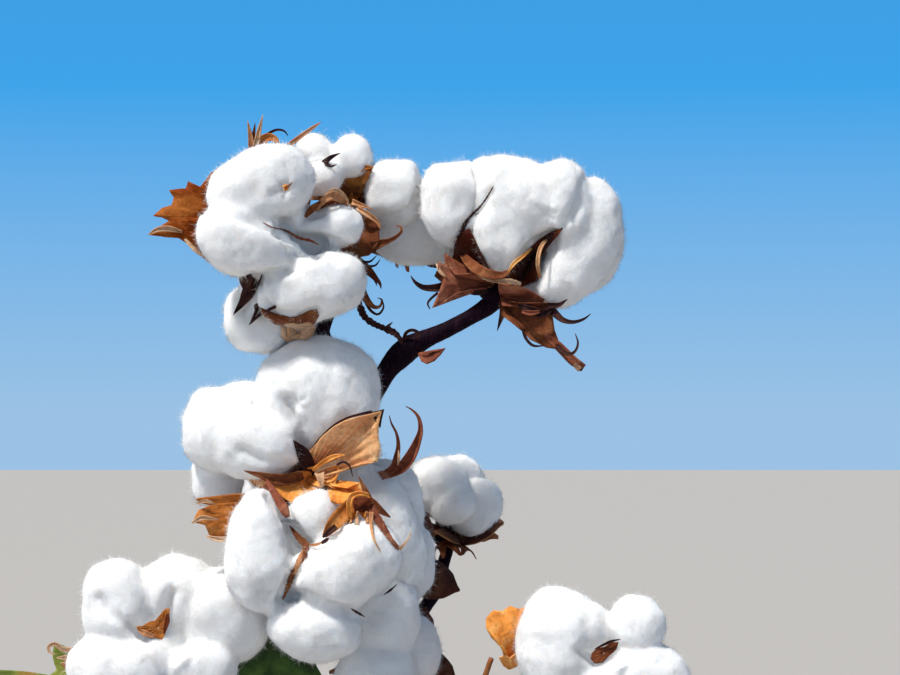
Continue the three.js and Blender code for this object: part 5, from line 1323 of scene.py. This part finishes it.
# ---------------------------------------------------------------- floor and light
floor_mat, _, _ = new_material("floor", (0.375, 0.352, 0.330), 0.9)
me = bpy.data.meshes.new("floor")
me.from_pydata([(-30, -30, 0), (30, -30, 0), (30, 30, 0), (-30, 30, 0)], [], [(0, 1, 2, 3)])
me.materials.append(floor_mat)
floor = bpy.data.objects.new("floor", me)
scene.collection.objects.link(floor)

world = bpy.data.worlds.new("sky")
scene.world = world
world.use_nodes = True
wt = world.node_tree
tc = wt.nodes.new("ShaderNodeTexCoord")
sp = wt.nodes.new("ShaderNodeSeparateXYZ")
wt.links.new(tc.outputs["Generated"], sp.inputs[0])
sky = ramp(wt, sp.outputs["Z"], [(0.0, (0.33, 0.54, 0.78)), (0.05, (0.22, 0.48, 0.80)), (0.13, (0.05, 0.37, 0.82)), (0.19, (0.05, 0.33, 0.76)),
                                 (0.27, (0.205, 0.255, 0.32)), (1.0, (0.225, 0.26, 0.305))])
# the upper sky is brighter and warmer at the left, where the sun is, and bluer at the right
xm = wt.nodes.new("ShaderNodeMath")
xm.operation = "MULTIPLY_ADD"
wt.links.new(sp.outputs["X"], xm.inputs[0])
xm.inputs[1].default_value = 0.5
xm.inputs[2].default_value = 0.5
across = ramp(wt, xm.outputs[0], [(0.0, (1.30, 1.27, 1.20)), (0.45, (1.0, 1.0, 1.0)), (1.0, (0.32, 0.47, 0.74))])
high = ramp(wt, sp.outputs["Z"], [(0.20, (0, 0, 0)), (0.28, (1, 1, 1))])
sky = mixed(wt, high, sky, across, "MULTIPLY")
wt.links.new(sky, wt.nodes["Background"].inputs["Color"])
wt.nodes["Background"].inputs["Strength"].default_value = 1.0


def sun(name, direction, energy, angle, colour):
    data = bpy.data.lights.new(name, "SUN")
    data.energy = energy
    data.angle = math.radians(angle)
    data.color = colour
    ob = bpy.data.objects.new(name, data)
    ob.rotation_euler = Vector(direction).to_track_quat("-Z", "Y").to_euler()
    scene.collection.objects.link(ob)


sun("key", (0.36, 0.36, -0.86), 4.4, 6, (1.0, 0.965, 0.91))
sun("fill", (-0.35, -0.75, -0.55), 0.32, 40, (0.76, 0.88, 1.0))
sun("side", (0.85, 0.40, -0.28), 0.55, 50, (1.0, 0.975, 0.94))
scene.view_settings.view_transform = "Standard"
